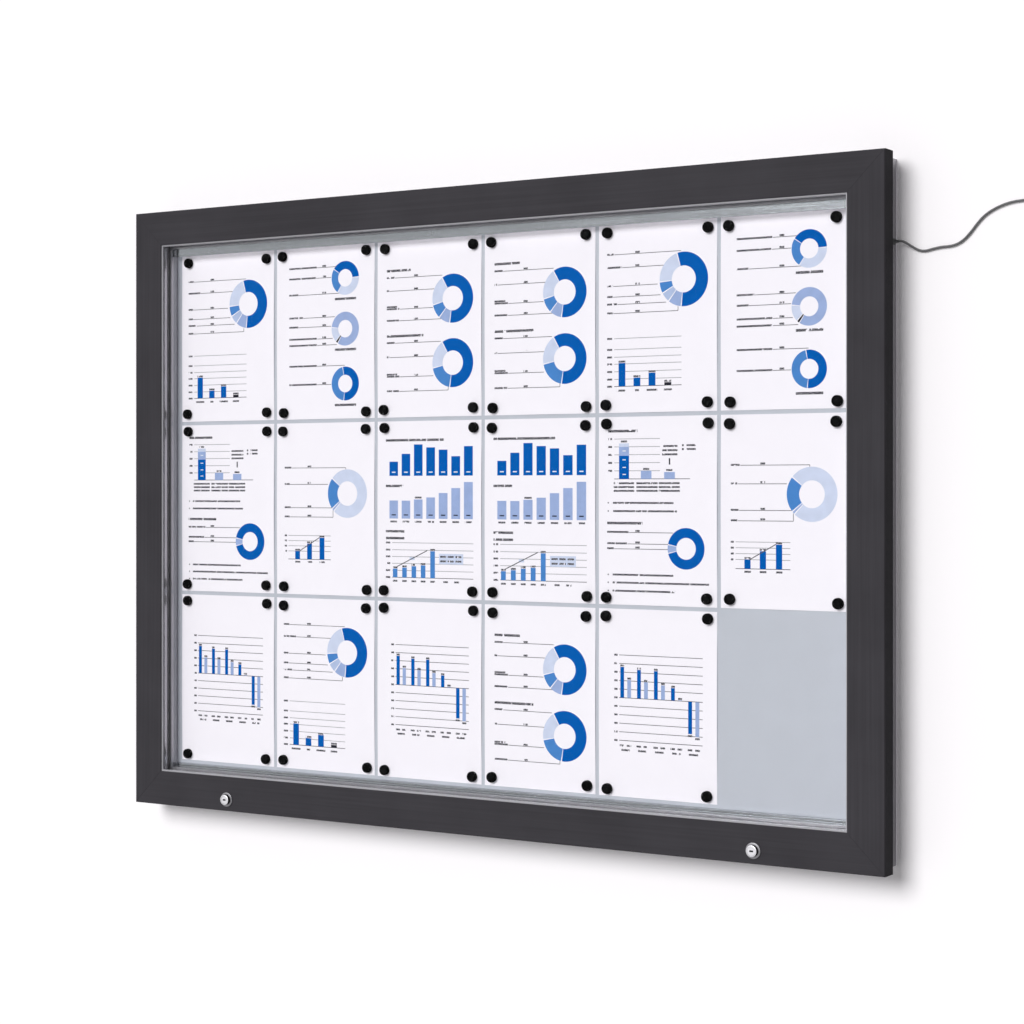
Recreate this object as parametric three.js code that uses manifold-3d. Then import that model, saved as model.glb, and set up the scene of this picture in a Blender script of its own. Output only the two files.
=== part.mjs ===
// A lit, lockable notice board for A4 sheets, hung on a wall.
// Millimetres, X to the right, Y into the wall, Z up.
// The origin is the middle of the flat back, where it meets the wall.
// In outlines, u runs inwards from the outer edge of the door and v runs back from its front face.

import * as THREE from 'three';
import { mergeVertices } from 'three/addons/utils/BufferGeometryUtils.js';
import Module from 'manifold-3d';

const wasm = await Module();
wasm.setup();

// Sheets and magnets
const columns = 6;
const rows = 3;
const emptyPlaces = 1;
const sheetWidth = 210;
const sheetHeight = 297;
const sheetThickness = 0.5;
const sheetGap = 6.5;
const magnetDiameter = 17.5;
const magnetHeight = 5;
const magnetFromSide = 15.5;
const magnetFromEnd = 12.5;
const magnetStray = 1.5;
const magnetSides = 10;

// Door and case as a whole
const faceWidth = 60;
const sideMargin = 16.25;
const topMargin = 18.5;
const blockWidth = columns * sheetWidth + (columns - 1) * sheetGap;
const blockHeight = rows * sheetHeight + (rows - 1) * sheetGap;
const width = blockWidth + 2 * (faceWidth + sideMargin);
const height = blockHeight + 2 * (faceWidth + topMargin);
const depth = 64;
const clearance = 0.3;
const facetAllowance = 0.1;
const overrun = 1;

// Door frame: hollow mitred rails with a glazing lip inside and a skirt round the case
const doorDepth = 20;
const doorWall = 2;
const edgeBevel = 1.5;
const lipWidth = 8;
const lipThickness = 2;
const skirtDepth = 30;
const skirtThickness = 2;
const keyArm = 110;
const keyEndBevel = 6;

// Glazing, from the front: bead, pane, retainer and door seal
const beadThickness = 3;
const beadReach = 2.8;
const beadBevel = 1;
const paneThickness = 3;
const retainerDepth = 7;
const retainerReach = 2;
const retainerWall = 3;
const retainerRib = 1.5;
const sealWidth = 7;
const sealSetIn = 1.6;
const sealBulge = 1.2;

// Case: mitred channel rails, open to the front between the outer and the inner wall
const sealGap = 2;
const caseInset = 8;
const caseWall = 2;
const ledgeWidth = 10;
const ledgeThickness = 1.5;
const ledgeOffset = 6;
const innerWall = 1.5;
const boardSetback = 40;
const boardThickness = 1;
const boardGrooveDepth = 3.5;
const backWallStep = 1.5;
const ribReach = 2;
const backFlangeReach = 6;
const backSheetThickness = 1.5;
const grooveSpacing = 6;
const grooveDepth = 0.5;
const fixingHoleDiameter = 8;
const fixingHoleInset = 30;

// Light bar under the top wall and cover strip on the bottom wall
const lightBarDrop = 14;
const lightBarWall = 1.5;
const lightBarFrontGap = 1;
const lightBarBackGap = 1.5;
const lightBarLeg = 6;
const diffuserThickness = 2;
const ledStripWidth = 7;
const ledStripThickness = 1;
const ledCount = 30;
const ledLength = 5;
const ledWidth = 3;
const ledHeight = 0.8;
const coverStripHeight = 7;
const coverStripWall = 1.5;
const coverStripFrontGap = 2.5;
const coverStripGroove = 0.6;

// Continuous hinge behind the skirt of the top rail
const hingeInset = 60;
const hingeKnuckles = 9;
const knuckleRadius = 2.8;
const knuckleGap = 0.5;
const knuckleRise = 0.2;
const knuckleSides = 12;
const leafThickness = 1.2;
const caseLeafWidth = 18;
const leafFrontGap = 1;
const leafRelief = 0.4;
const hingePinRadius = 1.25;
const hingeBoreRadius = 1.6;

// Cam locks in the bottom rail
const lockFromSide = 212;
const lockFromBottom = 20.5;
const lockFlangeRadius = 12.5;
const lockFlangeHeight = 1.8;
const lockFlangeBevel = 0.6;
const lockBarrelRadius = 8.8;
const lockBarrelHeight = 7.5;
const lockBarrelBevel = 0.6;
const lockShaftRadius = 9.4;
const lockCupRadius = 7.2;
const lockCupDepth = 5.9;
const lockBoreRadius = 5.35;
const lockNutRadius = 11.6;
const lockNutThickness = 1.8;
const lockSides = 20;
const rotorRecess = 0.4;
const keywayWidth = 6;
const keywayHeight = 1.8;
const keywayDepth = 3;
const camThickness = 2;
const camGap = 0.5;
const camReach = 41;
const camHubRadius = 8;
const camTipWidth = 14;
const camScrewRadius = 4;
const camScrewHeight = 2;

// Gas struts in the side channels, one end on the case and one on the door
const strutInset = 33;
const strutBackGap = 9;
const strutCaseDrop = 480;
const strutDoorDrop = 150;
const strutEyeRadius = 7;
const strutEyeWidth = 6;
const strutEyeBore = 3.9;
const strutStudRadius = 3.5;
const strutStudOverhang = 0.5;
const strutNeckRadius = 3;
const tubeRadius = 7.5;
const tubeWall = 1.5;
const tubeTaper = 4;
const glandThickness = 4;
const glandBoreRadius = 4.4;
const tubeLowGap = 20;
const tubeTopGap = 18;
const rodRadius = 4;
const rodLength = 200;
const pistonRadius = 5.4;
const pistonHeight = 8;
const roundSides = 12;
const strutSideGap = 1.5;
const bracketPlate = 2;
const bracketWidth = 24;
const bracketHeight = 30;
const earThickness = 2.5;
const earHeight = 16;

// Lead: its grommet, the stretch along the wall, the coil and the plug
const cordDiameter = 3.5;
const cordSides = 8;
const cordSteps = 26;
const cordLift = 0.55;
const cableFromTop = 130.5;
const cableSetback = 54;
const grommetFlangeRadius = 4.8;
const grommetFlange = 0.9;
const grommetNeckRadius = 3.4;
const grommetHoleRadius = 3.7;
const grommetNoseRadius = 2.9;
const grommetTipRadius = 2.2;
const grommetNose = 6.3;
const coilTurns = 13.25;
const coilLayers = 4;
const coilMeanRadius = 21;
const coilPitch = 4.1;
const coilSteps = 24;
const coilSides = 6;
const climbTurns = 0.5;
const tailLength = 52;
const tailStraight = 12;
const tailSteps = 8;
const plugRadius = 5;
const plugBoot = 9;
const plugBody = 22;
const plugNeckRadius = 2.6;
const plugBarrelRadius = 2.75;
const plugBarrel = 9.5;
const plugBoreRadius = 1.2;
const plugSides = 12;

// The route of the lead from the grommet to the coil: X, Y and Z
const wallLie = -(cordDiameter / 2 + cordLift);
const cordRoute = [
  [722, -10, 400], [727, -10, 399.6], [733, -8.2, 396.6], [741, -4.8, 391], [750, -2.7, 386],
  [759, wallLie, 384.4], [771, wallLie, 386.4], [784, wallLie, 388.4], [797, wallLie, 389],
  [808, wallLie, 391.2], [818, wallLie, 396.4], [829, wallLie, 406.6], [840, wallLie, 419.6],
  [850, wallLie, 429.4], [861, wallLie, 436.5], [875, wallLie, 442.6], [890, wallLie, 446.6],
  [905, wallLie, 448.2], [920, wallLie, 448.6], [935, wallLie, 448.6], [949.7, wallLie, 448.6],
];

// Places that several pieces share
const paneEdge = faceWidth - lipWidth;
const beadBack = lipThickness + beadThickness;
const paneBack = beadBack + paneThickness;
const retainerBack = paneBack + retainerDepth;
const caseFront = doorDepth + sealGap;
const innerFace = faceWidth + ledgeOffset;
const channelBack = depth - caseWall;
const strutSetback = channelBack - bracketPlate - strutBackGap - strutEyeRadius;
const grooveFloor = innerFace - boardGrooveDepth;
const hingeU = caseInset - knuckleRise - knuckleRadius;
const hingeV = skirtDepth + clearance + knuckleRadius;
const hingeY = hingeV - depth;
const hingeZ = height / 2 - hingeU;
const strutLength = strutCaseDrop - strutDoorDrop;
const cableHeight = height / 2 - cableFromTop;

// Finishes
const finish = (color, roughness, metalness, extra = {}) =>
  new THREE.MeshStandardMaterial({ color, roughness, metalness, ...extra });
const anthracite = () => finish(0x444246, 0.42, 0.35);
const silver = () => finish(0xb4b6b9, 0.38, 0.8);
const zinc = () => finish(0x9ea2a6, 0.45, 0.8);
const chrome = () => finish(0xdcdde0, 0.18, 1);
const rubber = () => finish(0x17171a, 0.8, 0);
const clear = () => finish(0xe6eef0, 0.05, 0, { transparent: true, opacity: 0.15 });
const enamel = () => finish(0xc4cbd6, 0.35, 0.1);
const paper = () => finish(0xf6f7fa, 0.75, 0);
const opal = () => finish(0xeff2f2, 0.5, 0);
const paint = () => finish(0x202124, 0.4, 0.3);
const vinyl = () => finish(0x55565a, 0.5, 0);

const board = new THREE.Group();

// Makes a closed mesh of merged corners whose faces point outwards.
function closed(geometry) {
  const bare = new THREE.BufferGeometry();
  bare.setAttribute('position', geometry.getAttribute('position').clone());
  if (geometry.index) bare.setIndex(geometry.index.clone());
  const merged = mergeVertices(bare, 1e-4);
  const corners = merged.getAttribute('position');
  const index = merged.index.array;
  const point = (i) => new THREE.Vector3().fromBufferAttribute(corners, i);
  const kept = [];
  let volume = 0;
  for (let i = 0; i < index.length; i += 3) {
    const [a, b, c] = [index[i], index[i + 1], index[i + 2]];
    if (a === b || b === c || c === a) continue;
    kept.push(a, b, c);
    volume += point(a).dot(point(b).cross(point(c)));
  }
  merged.setIndex(volume < 0 ? kept.reverse() : kept);
  return merged;
}

function solid(geometry) {
  const mesh = closed(geometry);
  return new wasm.Manifold(new wasm.Mesh({
    numProp: 3,
    vertProperties: new Float32Array(mesh.getAttribute('position').array),
    triVerts: new Uint32Array(mesh.index.array),
  }));
}

function shell(manifold) {
  const mesh = manifold.getMesh();
  const geometry = new THREE.BufferGeometry();
  geometry.setAttribute('position', new THREE.BufferAttribute(new Float32Array(mesh.vertProperties), 3));
  geometry.setIndex(Array.from(mesh.triVerts));
  return geometry;
}

const join = (first, ...others) =>
  shell(others.reduce((whole, other) => whole.add(solid(other)), solid(first)));
const cut = (first, ...others) =>
  shell(others.reduce((whole, other) => whole.subtract(solid(other)), solid(first)));

function add(name, geometry, material) {
  const shape = closed(geometry);
  shape.computeVertexNormals();
  const mesh = new THREE.Mesh(shape, material);
  mesh.name = name;
  board.add(mesh);
}

function box(x0, x1, y0, y1, z0, z1) {
  const geometry = new THREE.BoxGeometry(x1 - x0, y1 - y0, z1 - z0);
  return geometry.translate((x0 + x1) / 2, (y0 + y1) / 2, (z0 + z1) / 2);
}

// A turned piece about X, Y or Z; each point of its outline is a radius and a place along the axis.
function turned(points, sides, axis, x, y, z) {
  const geometry = new THREE.LatheGeometry(points.map(([r, h]) => new THREE.Vector2(r, h)), sides);
  if (axis === 'x') geometry.rotateZ(-Math.PI / 2);
  if (axis === 'z') geometry.rotateX(Math.PI / 2);
  return geometry.translate(x, y, z);
}

// A round bar from one place along its axis to another.
const rod = (radius, from, to, sides, axis, x, y, z) =>
  turned([[0, from], [radius, from], [radius, to], [0, to]], sides, axis, x, y, z);

// A rail of the given outline along one side, with its ends mitred.
function rail(outline, hollow, side) {
  const path = outline.map(([u, v]) => new THREE.Vector2(u, v));
  const shape = new THREE.Shape(path);
  if (hollow) shape.holes.push(new THREE.Path(hollow.map(([u, v]) => new THREE.Vector2(u, v))));
  const geometry = new THREE.ExtrudeGeometry(shape, { depth: 1, bevelEnabled: false });
  const corners = geometry.getAttribute('position');
  const upright = side === 'left' || side === 'right';
  const length = upright ? height : width;
  for (let i = 0; i < corners.count; i += 1) {
    const u = corners.getX(i);
    const along = (corners.getZ(i) > 0 ? length - u : u) - length / 2;
    const across = (upright ? width : height) / 2 - u;
    const sign = side === 'left' || side === 'bottom' ? -1 : 1;
    const x = upright ? sign * across : along;
    const z = upright ? along : sign * across;
    corners.setXYZ(i, x, corners.getY(i) - depth, z);
  }
  return geometry;
}

// A mitred ring of the given outline round all four sides, in one piece.
function ring(outline) {
  const points = [];
  const faces = [];
  const count = outline.length;
  for (const [sx, sz] of [[-1, -1], [1, -1], [1, 1], [-1, 1]]) {
    for (const [u, v] of outline) points.push(sx * (width / 2 - u), v - depth, sz * (height / 2 - u));
  }
  for (let corner = 0; corner < 4; corner += 1) {
    const next = ((corner + 1) % 4) * count;
    for (let i = 0; i < count; i += 1) {
      const j = (i + 1) % count;
      const [a, b, c, d] = [corner * count + i, corner * count + j, next + j, next + i];
      faces.push(a, b, c, a, c, d);
    }
  }
  const geometry = new THREE.BufferGeometry();
  geometry.setAttribute('position', new THREE.Float32BufferAttribute(points, 3));
  geometry.setIndex(faces);
  return geometry;
}

// A straight bar of the given outline along X, hung from the top wall or standing on the bottom one.
function bar(outline, x0, x1, sign) {
  const shape = new THREE.Shape(outline.map(([u, v]) => new THREE.Vector2(u, v)));
  const geometry = new THREE.ExtrudeGeometry(shape, { depth: 1, bevelEnabled: false });
  const corners = geometry.getAttribute('position');
  for (let i = 0; i < corners.count; i += 1) {
    const z = sign * (height / 2 - corners.getX(i));
    corners.setXYZ(i, corners.getZ(i) > 0 ? x1 : x0, corners.getY(i) - depth, z);
  }
  return geometry;
}

function addDoorFrame() {
  const outline = [
    [0, edgeBevel], [edgeBevel, 0], [faceWidth, 0], [faceWidth, lipThickness],
    [paneEdge, lipThickness], [paneEdge, doorDepth], [skirtThickness, doorDepth],
    [skirtThickness, skirtDepth], [0, skirtDepth],
  ];
  const hollow = [
    [doorWall, doorWall], [paneEdge - doorWall, doorWall],
    [paneEdge - doorWall, doorDepth - doorWall], [doorWall, doorDepth - doorWall],
  ];
  const bores = [-1, 1].map((side) => rod(lockShaftRadius + clearance, -overrun - depth,
    doorDepth + overrun - depth, lockSides, 'y', side * (width / 2 - lockFromSide), 0,
    lockFromBottom - height / 2));
  add('door_top_rail', rail(outline, hollow, 'top'), anthracite());
  add('door_bottom_rail', cut(rail(outline, hollow, 'bottom'), ...bores), anthracite());
  add('door_left_stile', rail(outline, hollow, 'left'), anthracite());
  add('door_right_stile', rail(outline, hollow, 'right'), anthracite());
}

// Cast angle pieces inside the hollow rails hold the mitres together.
function addCornerKeys() {
  const near = doorWall + clearance;
  const far = paneEdge - doorWall - clearance;
  const outline = [
    [near, near], [keyArm - keyEndBevel, near], [keyArm, near + keyEndBevel],
    [keyArm, far - keyEndBevel], [keyArm - keyEndBevel, far], [far, far],
    [far, keyArm - keyEndBevel], [far - keyEndBevel, keyArm],
    [near + keyEndBevel, keyArm], [near, keyArm - keyEndBevel],
  ];
  for (const [name, sx, sz] of [['bottom_left', -1, -1], ['bottom_right', 1, -1],
    ['top_right', 1, 1], ['top_left', -1, 1]]) {
    const shape = new THREE.Shape(outline.map(([a, b]) => new THREE.Vector2(a, b)));
    const geometry = new THREE.ExtrudeGeometry(shape, { depth: 1, bevelEnabled: false });
    const corners = geometry.getAttribute('position');
    for (let i = 0; i < corners.count; i += 1) {
      const v = corners.getZ(i) > 0 ? doorDepth - near : near;
      corners.setXYZ(i, sx * (width / 2 - corners.getX(i)), v - depth,
        sz * (height / 2 - corners.getY(i)));
    }
    add(`door_corner_key_${name}`, geometry, zinc());
  }
}

function addGlazing() {
  const edge = paneEdge + clearance;
  const beadEdge = faceWidth + beadReach;
  add('glazing_bead', ring([
    [edge, lipThickness], [beadEdge - beadBevel, lipThickness],
    [beadEdge, lipThickness + beadBevel], [beadEdge, beadBack], [edge, beadBack],
  ]), silver());
  const halfX = width / 2 - edge;
  const halfZ = height / 2 - edge;
  add('door_pane', box(-halfX, halfX, beadBack - depth, paneBack - depth, -halfZ, halfZ), clear());
  const retainerEdge = faceWidth + retainerReach;
  add('pane_retainer', ring([
    [edge, paneBack], [retainerEdge, paneBack], [retainerEdge, retainerBack],
    [retainerEdge - retainerWall, retainerBack], [retainerEdge - retainerWall, paneBack + retainerRib],
    [edge + retainerRib, paneBack + retainerRib], [edge + retainerRib, retainerBack],
    [edge, retainerBack],
  ]), silver());
  const sealOuter = retainerEdge - sealWidth;
  const sealBack = caseFront - clearance;
  const sealMiddle = (retainerBack + sealBack) / 2;
  add('door_seal', ring([
    [sealOuter, retainerBack], [retainerEdge - sealSetIn, retainerBack],
    [retainerEdge - sealSetIn + sealBulge, sealMiddle], [retainerEdge - sealSetIn, sealBack],
    [sealOuter + sealBulge, sealBack], [sealOuter, sealMiddle],
  ]), rubber());
}

function addCase() {
  const ledgeOuter = innerFace - ledgeWidth;
  const wallOuter = innerFace - innerWall;
  const backWall = grooveFloor - backWallStep;
  const ribFront = boardSetback + boardThickness + clearance;
  const ribBack = ribFront + innerWall;
  const ribEdge = innerFace + ribReach;
  const flangeFront = channelBack - innerWall;
  const flangeEdge = innerFace + backFlangeReach;
  const grooves = [];
  for (const place of [grooveSpacing, 2 * grooveSpacing]) {
    grooves.push([innerFace, caseFront + place - grooveDepth], [innerFace - grooveDepth, caseFront + place],
      [innerFace, caseFront + place + grooveDepth]);
  }
  const outline = [
    [caseInset, caseFront], [caseInset + caseWall, caseFront], [caseInset + caseWall, channelBack],
    [backWall, channelBack], [backWall, boardSetback - innerWall], [wallOuter, boardSetback - innerWall],
    [wallOuter, caseFront + ledgeThickness], [ledgeOuter, caseFront + ledgeThickness],
    [ledgeOuter, caseFront], [innerFace, caseFront], ...grooves, [innerFace, boardSetback],
    [grooveFloor, boardSetback], [grooveFloor, ribFront], [ribEdge, ribFront], [ribEdge, ribBack],
    [grooveFloor, ribBack], [grooveFloor, flangeFront], [flangeEdge, flangeFront],
    [flangeEdge, channelBack], [grooveFloor, channelBack], [grooveFloor, depth], [caseInset, depth],
  ];
  const hole = rod(grommetHoleRadius, width / 2 - caseInset - caseWall - overrun,
    width / 2 - caseInset + overrun, roundSides, 'x', 0, cableSetback - depth, cableHeight);
  add('case_top_rail', rail(outline, null, 'top'), silver());
  add('case_bottom_rail', rail(outline, null, 'bottom'), silver());
  add('case_left_stile', rail(outline, null, 'left'), silver());
  add('case_right_stile', cut(rail(outline, null, 'right'), hole), silver());
  const halfX = width / 2 - grooveFloor - clearance;
  const halfZ = height / 2 - grooveFloor - clearance;
  const front = depth - backSheetThickness;
  const holes = [];
  for (const sx of [-1, 1]) {
    for (const sz of [-1, 1]) {
      holes.push(rod(fixingHoleDiameter / 2, -backSheetThickness - overrun, overrun, roundSides, 'y',
        sx * (halfX - fixingHoleInset), 0, sz * (halfZ - fixingHoleInset)));
    }
  }
  add('back_sheet', cut(box(-halfX, halfX, front - depth, 0, -halfZ, halfZ), ...holes), silver());
  add('magnetic_board', box(-halfX, halfX, boardSetback - depth,
    boardSetback + boardThickness - depth, -halfZ, halfZ), enamel());
}

function addLightBar() {
  const front = caseFront + ledgeThickness + lightBarFrontGap;
  const back = boardSetback - lightBarBackGap;
  const drop = innerFace + lightBarDrop;
  const leg = innerFace + lightBarLeg;
  const halfX = width / 2 - innerFace - clearance;
  add('light_bar_housing', bar([
    [innerFace, front], [drop, front], [drop, front + lightBarWall],
    [innerFace + lightBarWall, front + lightBarWall], [innerFace + lightBarWall, back - lightBarWall],
    [leg, back - lightBarWall], [leg, back], [innerFace, back],
  ], -halfX, halfX, 1), silver());
  const near = front + lightBarWall + clearance;
  const far = back - lightBarWall - clearance;
  add('light_bar_diffuser', bar([
    [drop - clearance, near], [leg - clearance, far], [leg - clearance - diffuserThickness, far],
    [drop - clearance - diffuserThickness, near],
  ], -halfX, halfX, 1), opal());
  const ledTop = height / 2 - innerFace - lightBarWall;
  const ledBottom = ledTop - ledStripThickness;
  const middleY = (front + back) / 2 - depth;
  const ledPitch = 2 * halfX / ledCount;
  const leds = Array.from({ length: ledCount }, (_, i) => {
    const x = (i + 0.5) * ledPitch - halfX;
    return box(x - ledLength / 2, x + ledLength / 2, middleY - ledWidth / 2, middleY + ledWidth / 2,
      ledBottom - ledHeight, ledBottom + ledStripThickness / 2);
  });
  add('led_strip', join(box(-halfX, halfX, middleY - ledStripWidth / 2, middleY + ledStripWidth / 2,
    ledBottom, ledTop), ...leds), paper());
  const stripFront = caseFront + ledgeThickness + coverStripFrontGap;
  const stripTop = innerFace + coverStripHeight;
  const middle = innerFace + coverStripHeight / 2;
  add('bottom_cover_strip', bar([
    [innerFace, stripFront], [middle - coverStripGroove, stripFront],
    [middle, stripFront + coverStripGroove], [middle + coverStripGroove, stripFront],
    [stripTop, stripFront], [stripTop, back], [innerFace, back], [innerFace, back - coverStripWall],
    [stripTop - coverStripWall, back - coverStripWall],
    [stripTop - coverStripWall, stripFront + coverStripWall],
    [innerFace, stripFront + coverStripWall],
  ], -halfX, halfX, -1), silver());
}

function addHinge() {
  const halfLength = width / 2 - hingeInset;
  const share = 2 * halfLength / hingeKnuckles;
  const bore = rod(hingeBoreRadius, -halfLength - overrun, halfLength + overrun, knuckleSides,
    'x', 0, hingeY, hingeZ);
  const plates = {
    door: box(-halfLength, halfLength, doorDepth + leafFrontGap - depth, hingeY,
      height / 2 - skirtThickness - leafThickness, height / 2 - skirtThickness),
    case: box(-halfLength, halfLength, hingeY, hingeY + caseLeafWidth,
      height / 2 - caseInset, height / 2 - caseInset + leafThickness),
  };
  const knuckles = { door: [], case: [] };
  const reliefs = { door: [], case: [] };
  const reach = knuckleRadius + leafRelief;
  for (let i = 0; i < hingeKnuckles; i += 1) {
    const own = i % 2 ? 'door' : 'case';
    const other = i % 2 ? 'case' : 'door';
    const from = i * share - halfLength;
    const to = from + share;
    knuckles[own].push(rod(knuckleRadius, from + (i > 0 ? knuckleGap / 2 : 0),
      to - (i < hingeKnuckles - 1 ? knuckleGap / 2 : 0), knuckleSides, 'x', 0, hingeY, hingeZ));
    reliefs[other].push(box(from - knuckleGap / 2, to + knuckleGap / 2, hingeY - reach, hingeY + reach,
      hingeZ - reach, hingeZ + reach));
  }
  for (const leaf of ['door', 'case']) {
    const plate = cut(plates[leaf], ...reliefs[leaf]);
    add(`hinge_${leaf}_leaf`, cut(join(plate, ...knuckles[leaf]), bore), zinc());
  }
  add('hinge_pin', rod(hingePinRadius, -halfLength, halfLength, knuckleSides, 'x', 0, hingeY, hingeZ),
    zinc());
}

function addLock(name, side) {
  const x = side * (width / 2 - lockFromSide);
  const z = lockFromBottom - height / 2;
  const camFront = caseFront + ledgeThickness + camGap;
  const shaftEnd = camFront - clearance;
  const sleeve = turned([
    [lockCupRadius, -lockBarrelHeight], [lockBarrelRadius - lockBarrelBevel, -lockBarrelHeight],
    [lockBarrelRadius, lockBarrelBevel - lockBarrelHeight], [lockBarrelRadius, -lockFlangeHeight],
    [lockFlangeRadius - lockFlangeBevel, -lockFlangeHeight],
    [lockFlangeRadius, lockFlangeBevel - lockFlangeHeight], [lockFlangeRadius, 0],
    [lockShaftRadius, 0], [lockShaftRadius, shaftEnd], [lockBoreRadius, shaftEnd],
    [lockBoreRadius, lockCupDepth], [lockCupRadius, lockCupDepth], [lockCupRadius, -lockBarrelHeight],
  ], lockSides, 'y', x, -depth, z);
  const nut = turned([
    [lockBoreRadius + overrun, doorDepth], [lockNutRadius, doorDepth],
    [lockNutRadius, doorDepth + lockNutThickness],
    [lockBoreRadius + overrun, doorDepth + lockNutThickness], [lockBoreRadius + overrun, doorDepth],
  ], 6, 'y', 0, 0, 0).rotateY(Math.PI / 6).translate(x, -depth, z);
  add(`${name}_body`, join(sleeve, nut), chrome());
  const face = rotorRecess - lockBarrelHeight;
  const headRadius = lockCupRadius - clearance - facetAllowance;
  const coreRadius = lockBoreRadius - clearance - facetAllowance;
  const head = turned([
    [0, face], [headRadius, face], [headRadius, lockCupDepth - clearance],
    [coreRadius, lockCupDepth - clearance], [coreRadius, camFront], [0, camFront],
  ], lockSides, 'y', x, -depth, z);
  const keyway = box(x - keywayWidth / 2, x + keywayWidth / 2, face - overrun - depth,
    face + keywayDepth - depth, z - keywayHeight / 2, z + keywayHeight / 2);
  add(`${name}_rotor`, cut(head, keyway), chrome());
  const tipStart = camHubRadius * Math.cos(Math.asin(camTipWidth / 2 / camHubRadius));
  const shape = new THREE.Shape();
  shape.moveTo(tipStart, -camTipWidth / 2);
  shape.lineTo(camReach, -camTipWidth / 2);
  shape.lineTo(camReach, camTipWidth / 2);
  shape.lineTo(tipStart, camTipWidth / 2);
  const angle = Math.asin(camTipWidth / 2 / camHubRadius);
  shape.absarc(0, 0, camHubRadius, angle, 2 * Math.PI - angle, false);
  const plate = new THREE.ExtrudeGeometry(shape, {
    depth: camThickness, bevelEnabled: false, curveSegments: roundSides,
  });
  plate.rotateX(Math.PI / 2).translate(x, camFront + camThickness - depth, z);
  const screw = rod(camScrewRadius, camFront, camFront + camThickness + camScrewHeight, roundSides,
    'y', x, -depth, z);
  add(`${name}_cam`, join(plate, screw), zinc());
}

// A bracket on the case back or on the door back, with its stud pointing outwards into the strut's eye.
function bracket(side, z, seat, towardsBack, studEnd) {
  const x = (u) => side * (width / 2 - u);
  const earStart = strutInset + tubeRadius + strutSideGap;
  const earEnd = earStart + earThickness;
  const flat = (u0, u1, v0, v1, half) => box(Math.min(x(u0), x(u1)), Math.max(x(u0), x(u1)),
    Math.min(v0, v1) - depth, Math.max(v0, v1) - depth, z - half, z + half);
  const out = towardsBack ? 1 : -1;
  const base = flat(earEnd - bracketWidth, earEnd, seat, seat + out * bracketPlate, bracketHeight / 2);
  const ear = flat(earStart, earEnd, seat, strutSetback + out * strutEyeRadius, earHeight / 2);
  const ends = [x(studEnd), x(earEnd - overrun)];
  const stud = rod(strutStudRadius, Math.min(...ends), Math.max(...ends), roundSides, 'x', 0,
    strutSetback - depth, z);
  return join(base, ear, stud);
}

function addStrut(name, side) {
  const x = side * (width / 2 - strutInset);
  const y = strutSetback - depth;
  const low = hingeZ - strutCaseDrop;
  const half = strutEyeWidth / 2;
  const eye = (z) => cut(rod(strutEyeRadius, -half, half, roundSides, 'x', x, y, z),
    rod(strutEyeBore, -half - overrun, half + overrun, roundSides, 'x', x, y, z));
  const neckStart = strutEyeBore + overrun;
  const stem = turned([
    [0, neckStart], [rodRadius, neckStart], [rodRadius, rodLength - pistonHeight],
    [pistonRadius, rodLength - pistonHeight], [pistonRadius, rodLength], [0, rodLength],
  ], roundSides, 'z', x, y, low);
  add(`${name}_rod`, join(eye(low), stem), chrome());
  const tubeStart = tubeLowGap;
  const tubeEnd = strutLength - tubeTopGap;
  const boreRadius = tubeRadius - tubeWall;
  const tube = turned([
    [0, tubeEnd], [strutNeckRadius, tubeEnd], [tubeRadius, tubeEnd - tubeTaper],
    [tubeRadius, tubeStart + tubeWall], [tubeRadius - tubeWall / 2, tubeStart],
    [glandBoreRadius, tubeStart], [glandBoreRadius, tubeStart + glandThickness],
    [boreRadius, tubeStart + glandThickness], [boreRadius, tubeEnd - 2 * tubeTaper],
    [0, tubeEnd - 2 * tubeTaper],
  ], roundSides, 'z', x, y, low);
  const neck = rod(strutNeckRadius, tubeEnd - overrun, strutLength - neckStart, roundSides, 'z', x, y, low);
  add(`${name}_cylinder`, join(tube, neck, eye(low + strutLength)), paint());
  add(`${name}_case_bracket`, bracket(side, low, channelBack, false,
    strutInset - half - strutStudOverhang), zinc());
  add(`${name}_door_bracket`, bracket(side, low + strutLength, doorDepth, true,
    strutInset + half + strutStudOverhang), zinc());
}

// The magnets sit a little off their places, each by the same amount in a direction of its own.
function addSheets() {
  const strayTurn = 2.4;
  for (let row = 0; row < rows; row += 1) {
    for (let column = 0; column < columns; column += 1) {
      if (row * columns + column >= rows * columns - emptyPlaces) continue;
      const x0 = column * (sheetWidth + sheetGap) - blockWidth / 2;
      const z1 = blockHeight / 2 - row * (sheetHeight + sheetGap);
      const back = boardSetback - depth;
      const front = back - sheetThickness;
      const leaf = box(x0, x0 + sheetWidth, front, back, z1 - sheetHeight, z1);
      const magnets = [];
      for (const x of [x0 + magnetFromSide, x0 + sheetWidth - magnetFromSide]) {
        for (const z of [z1 - magnetFromEnd, z1 - sheetHeight + magnetFromEnd]) {
          const turn = strayTurn * (4 * (row * columns + column) + magnets.length);
          magnets.push(rod(magnetDiameter / 2, front - magnetHeight, front + sheetThickness / 2,
            magnetSides, 'y', x + magnetStray * Math.cos(turn), 0, z + magnetStray * Math.sin(turn)));
        }
      }
      add(`sheet_row${row + 1}_column${column + 1}`, join(leaf, ...magnets), paper());
    }
  }
}

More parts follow.
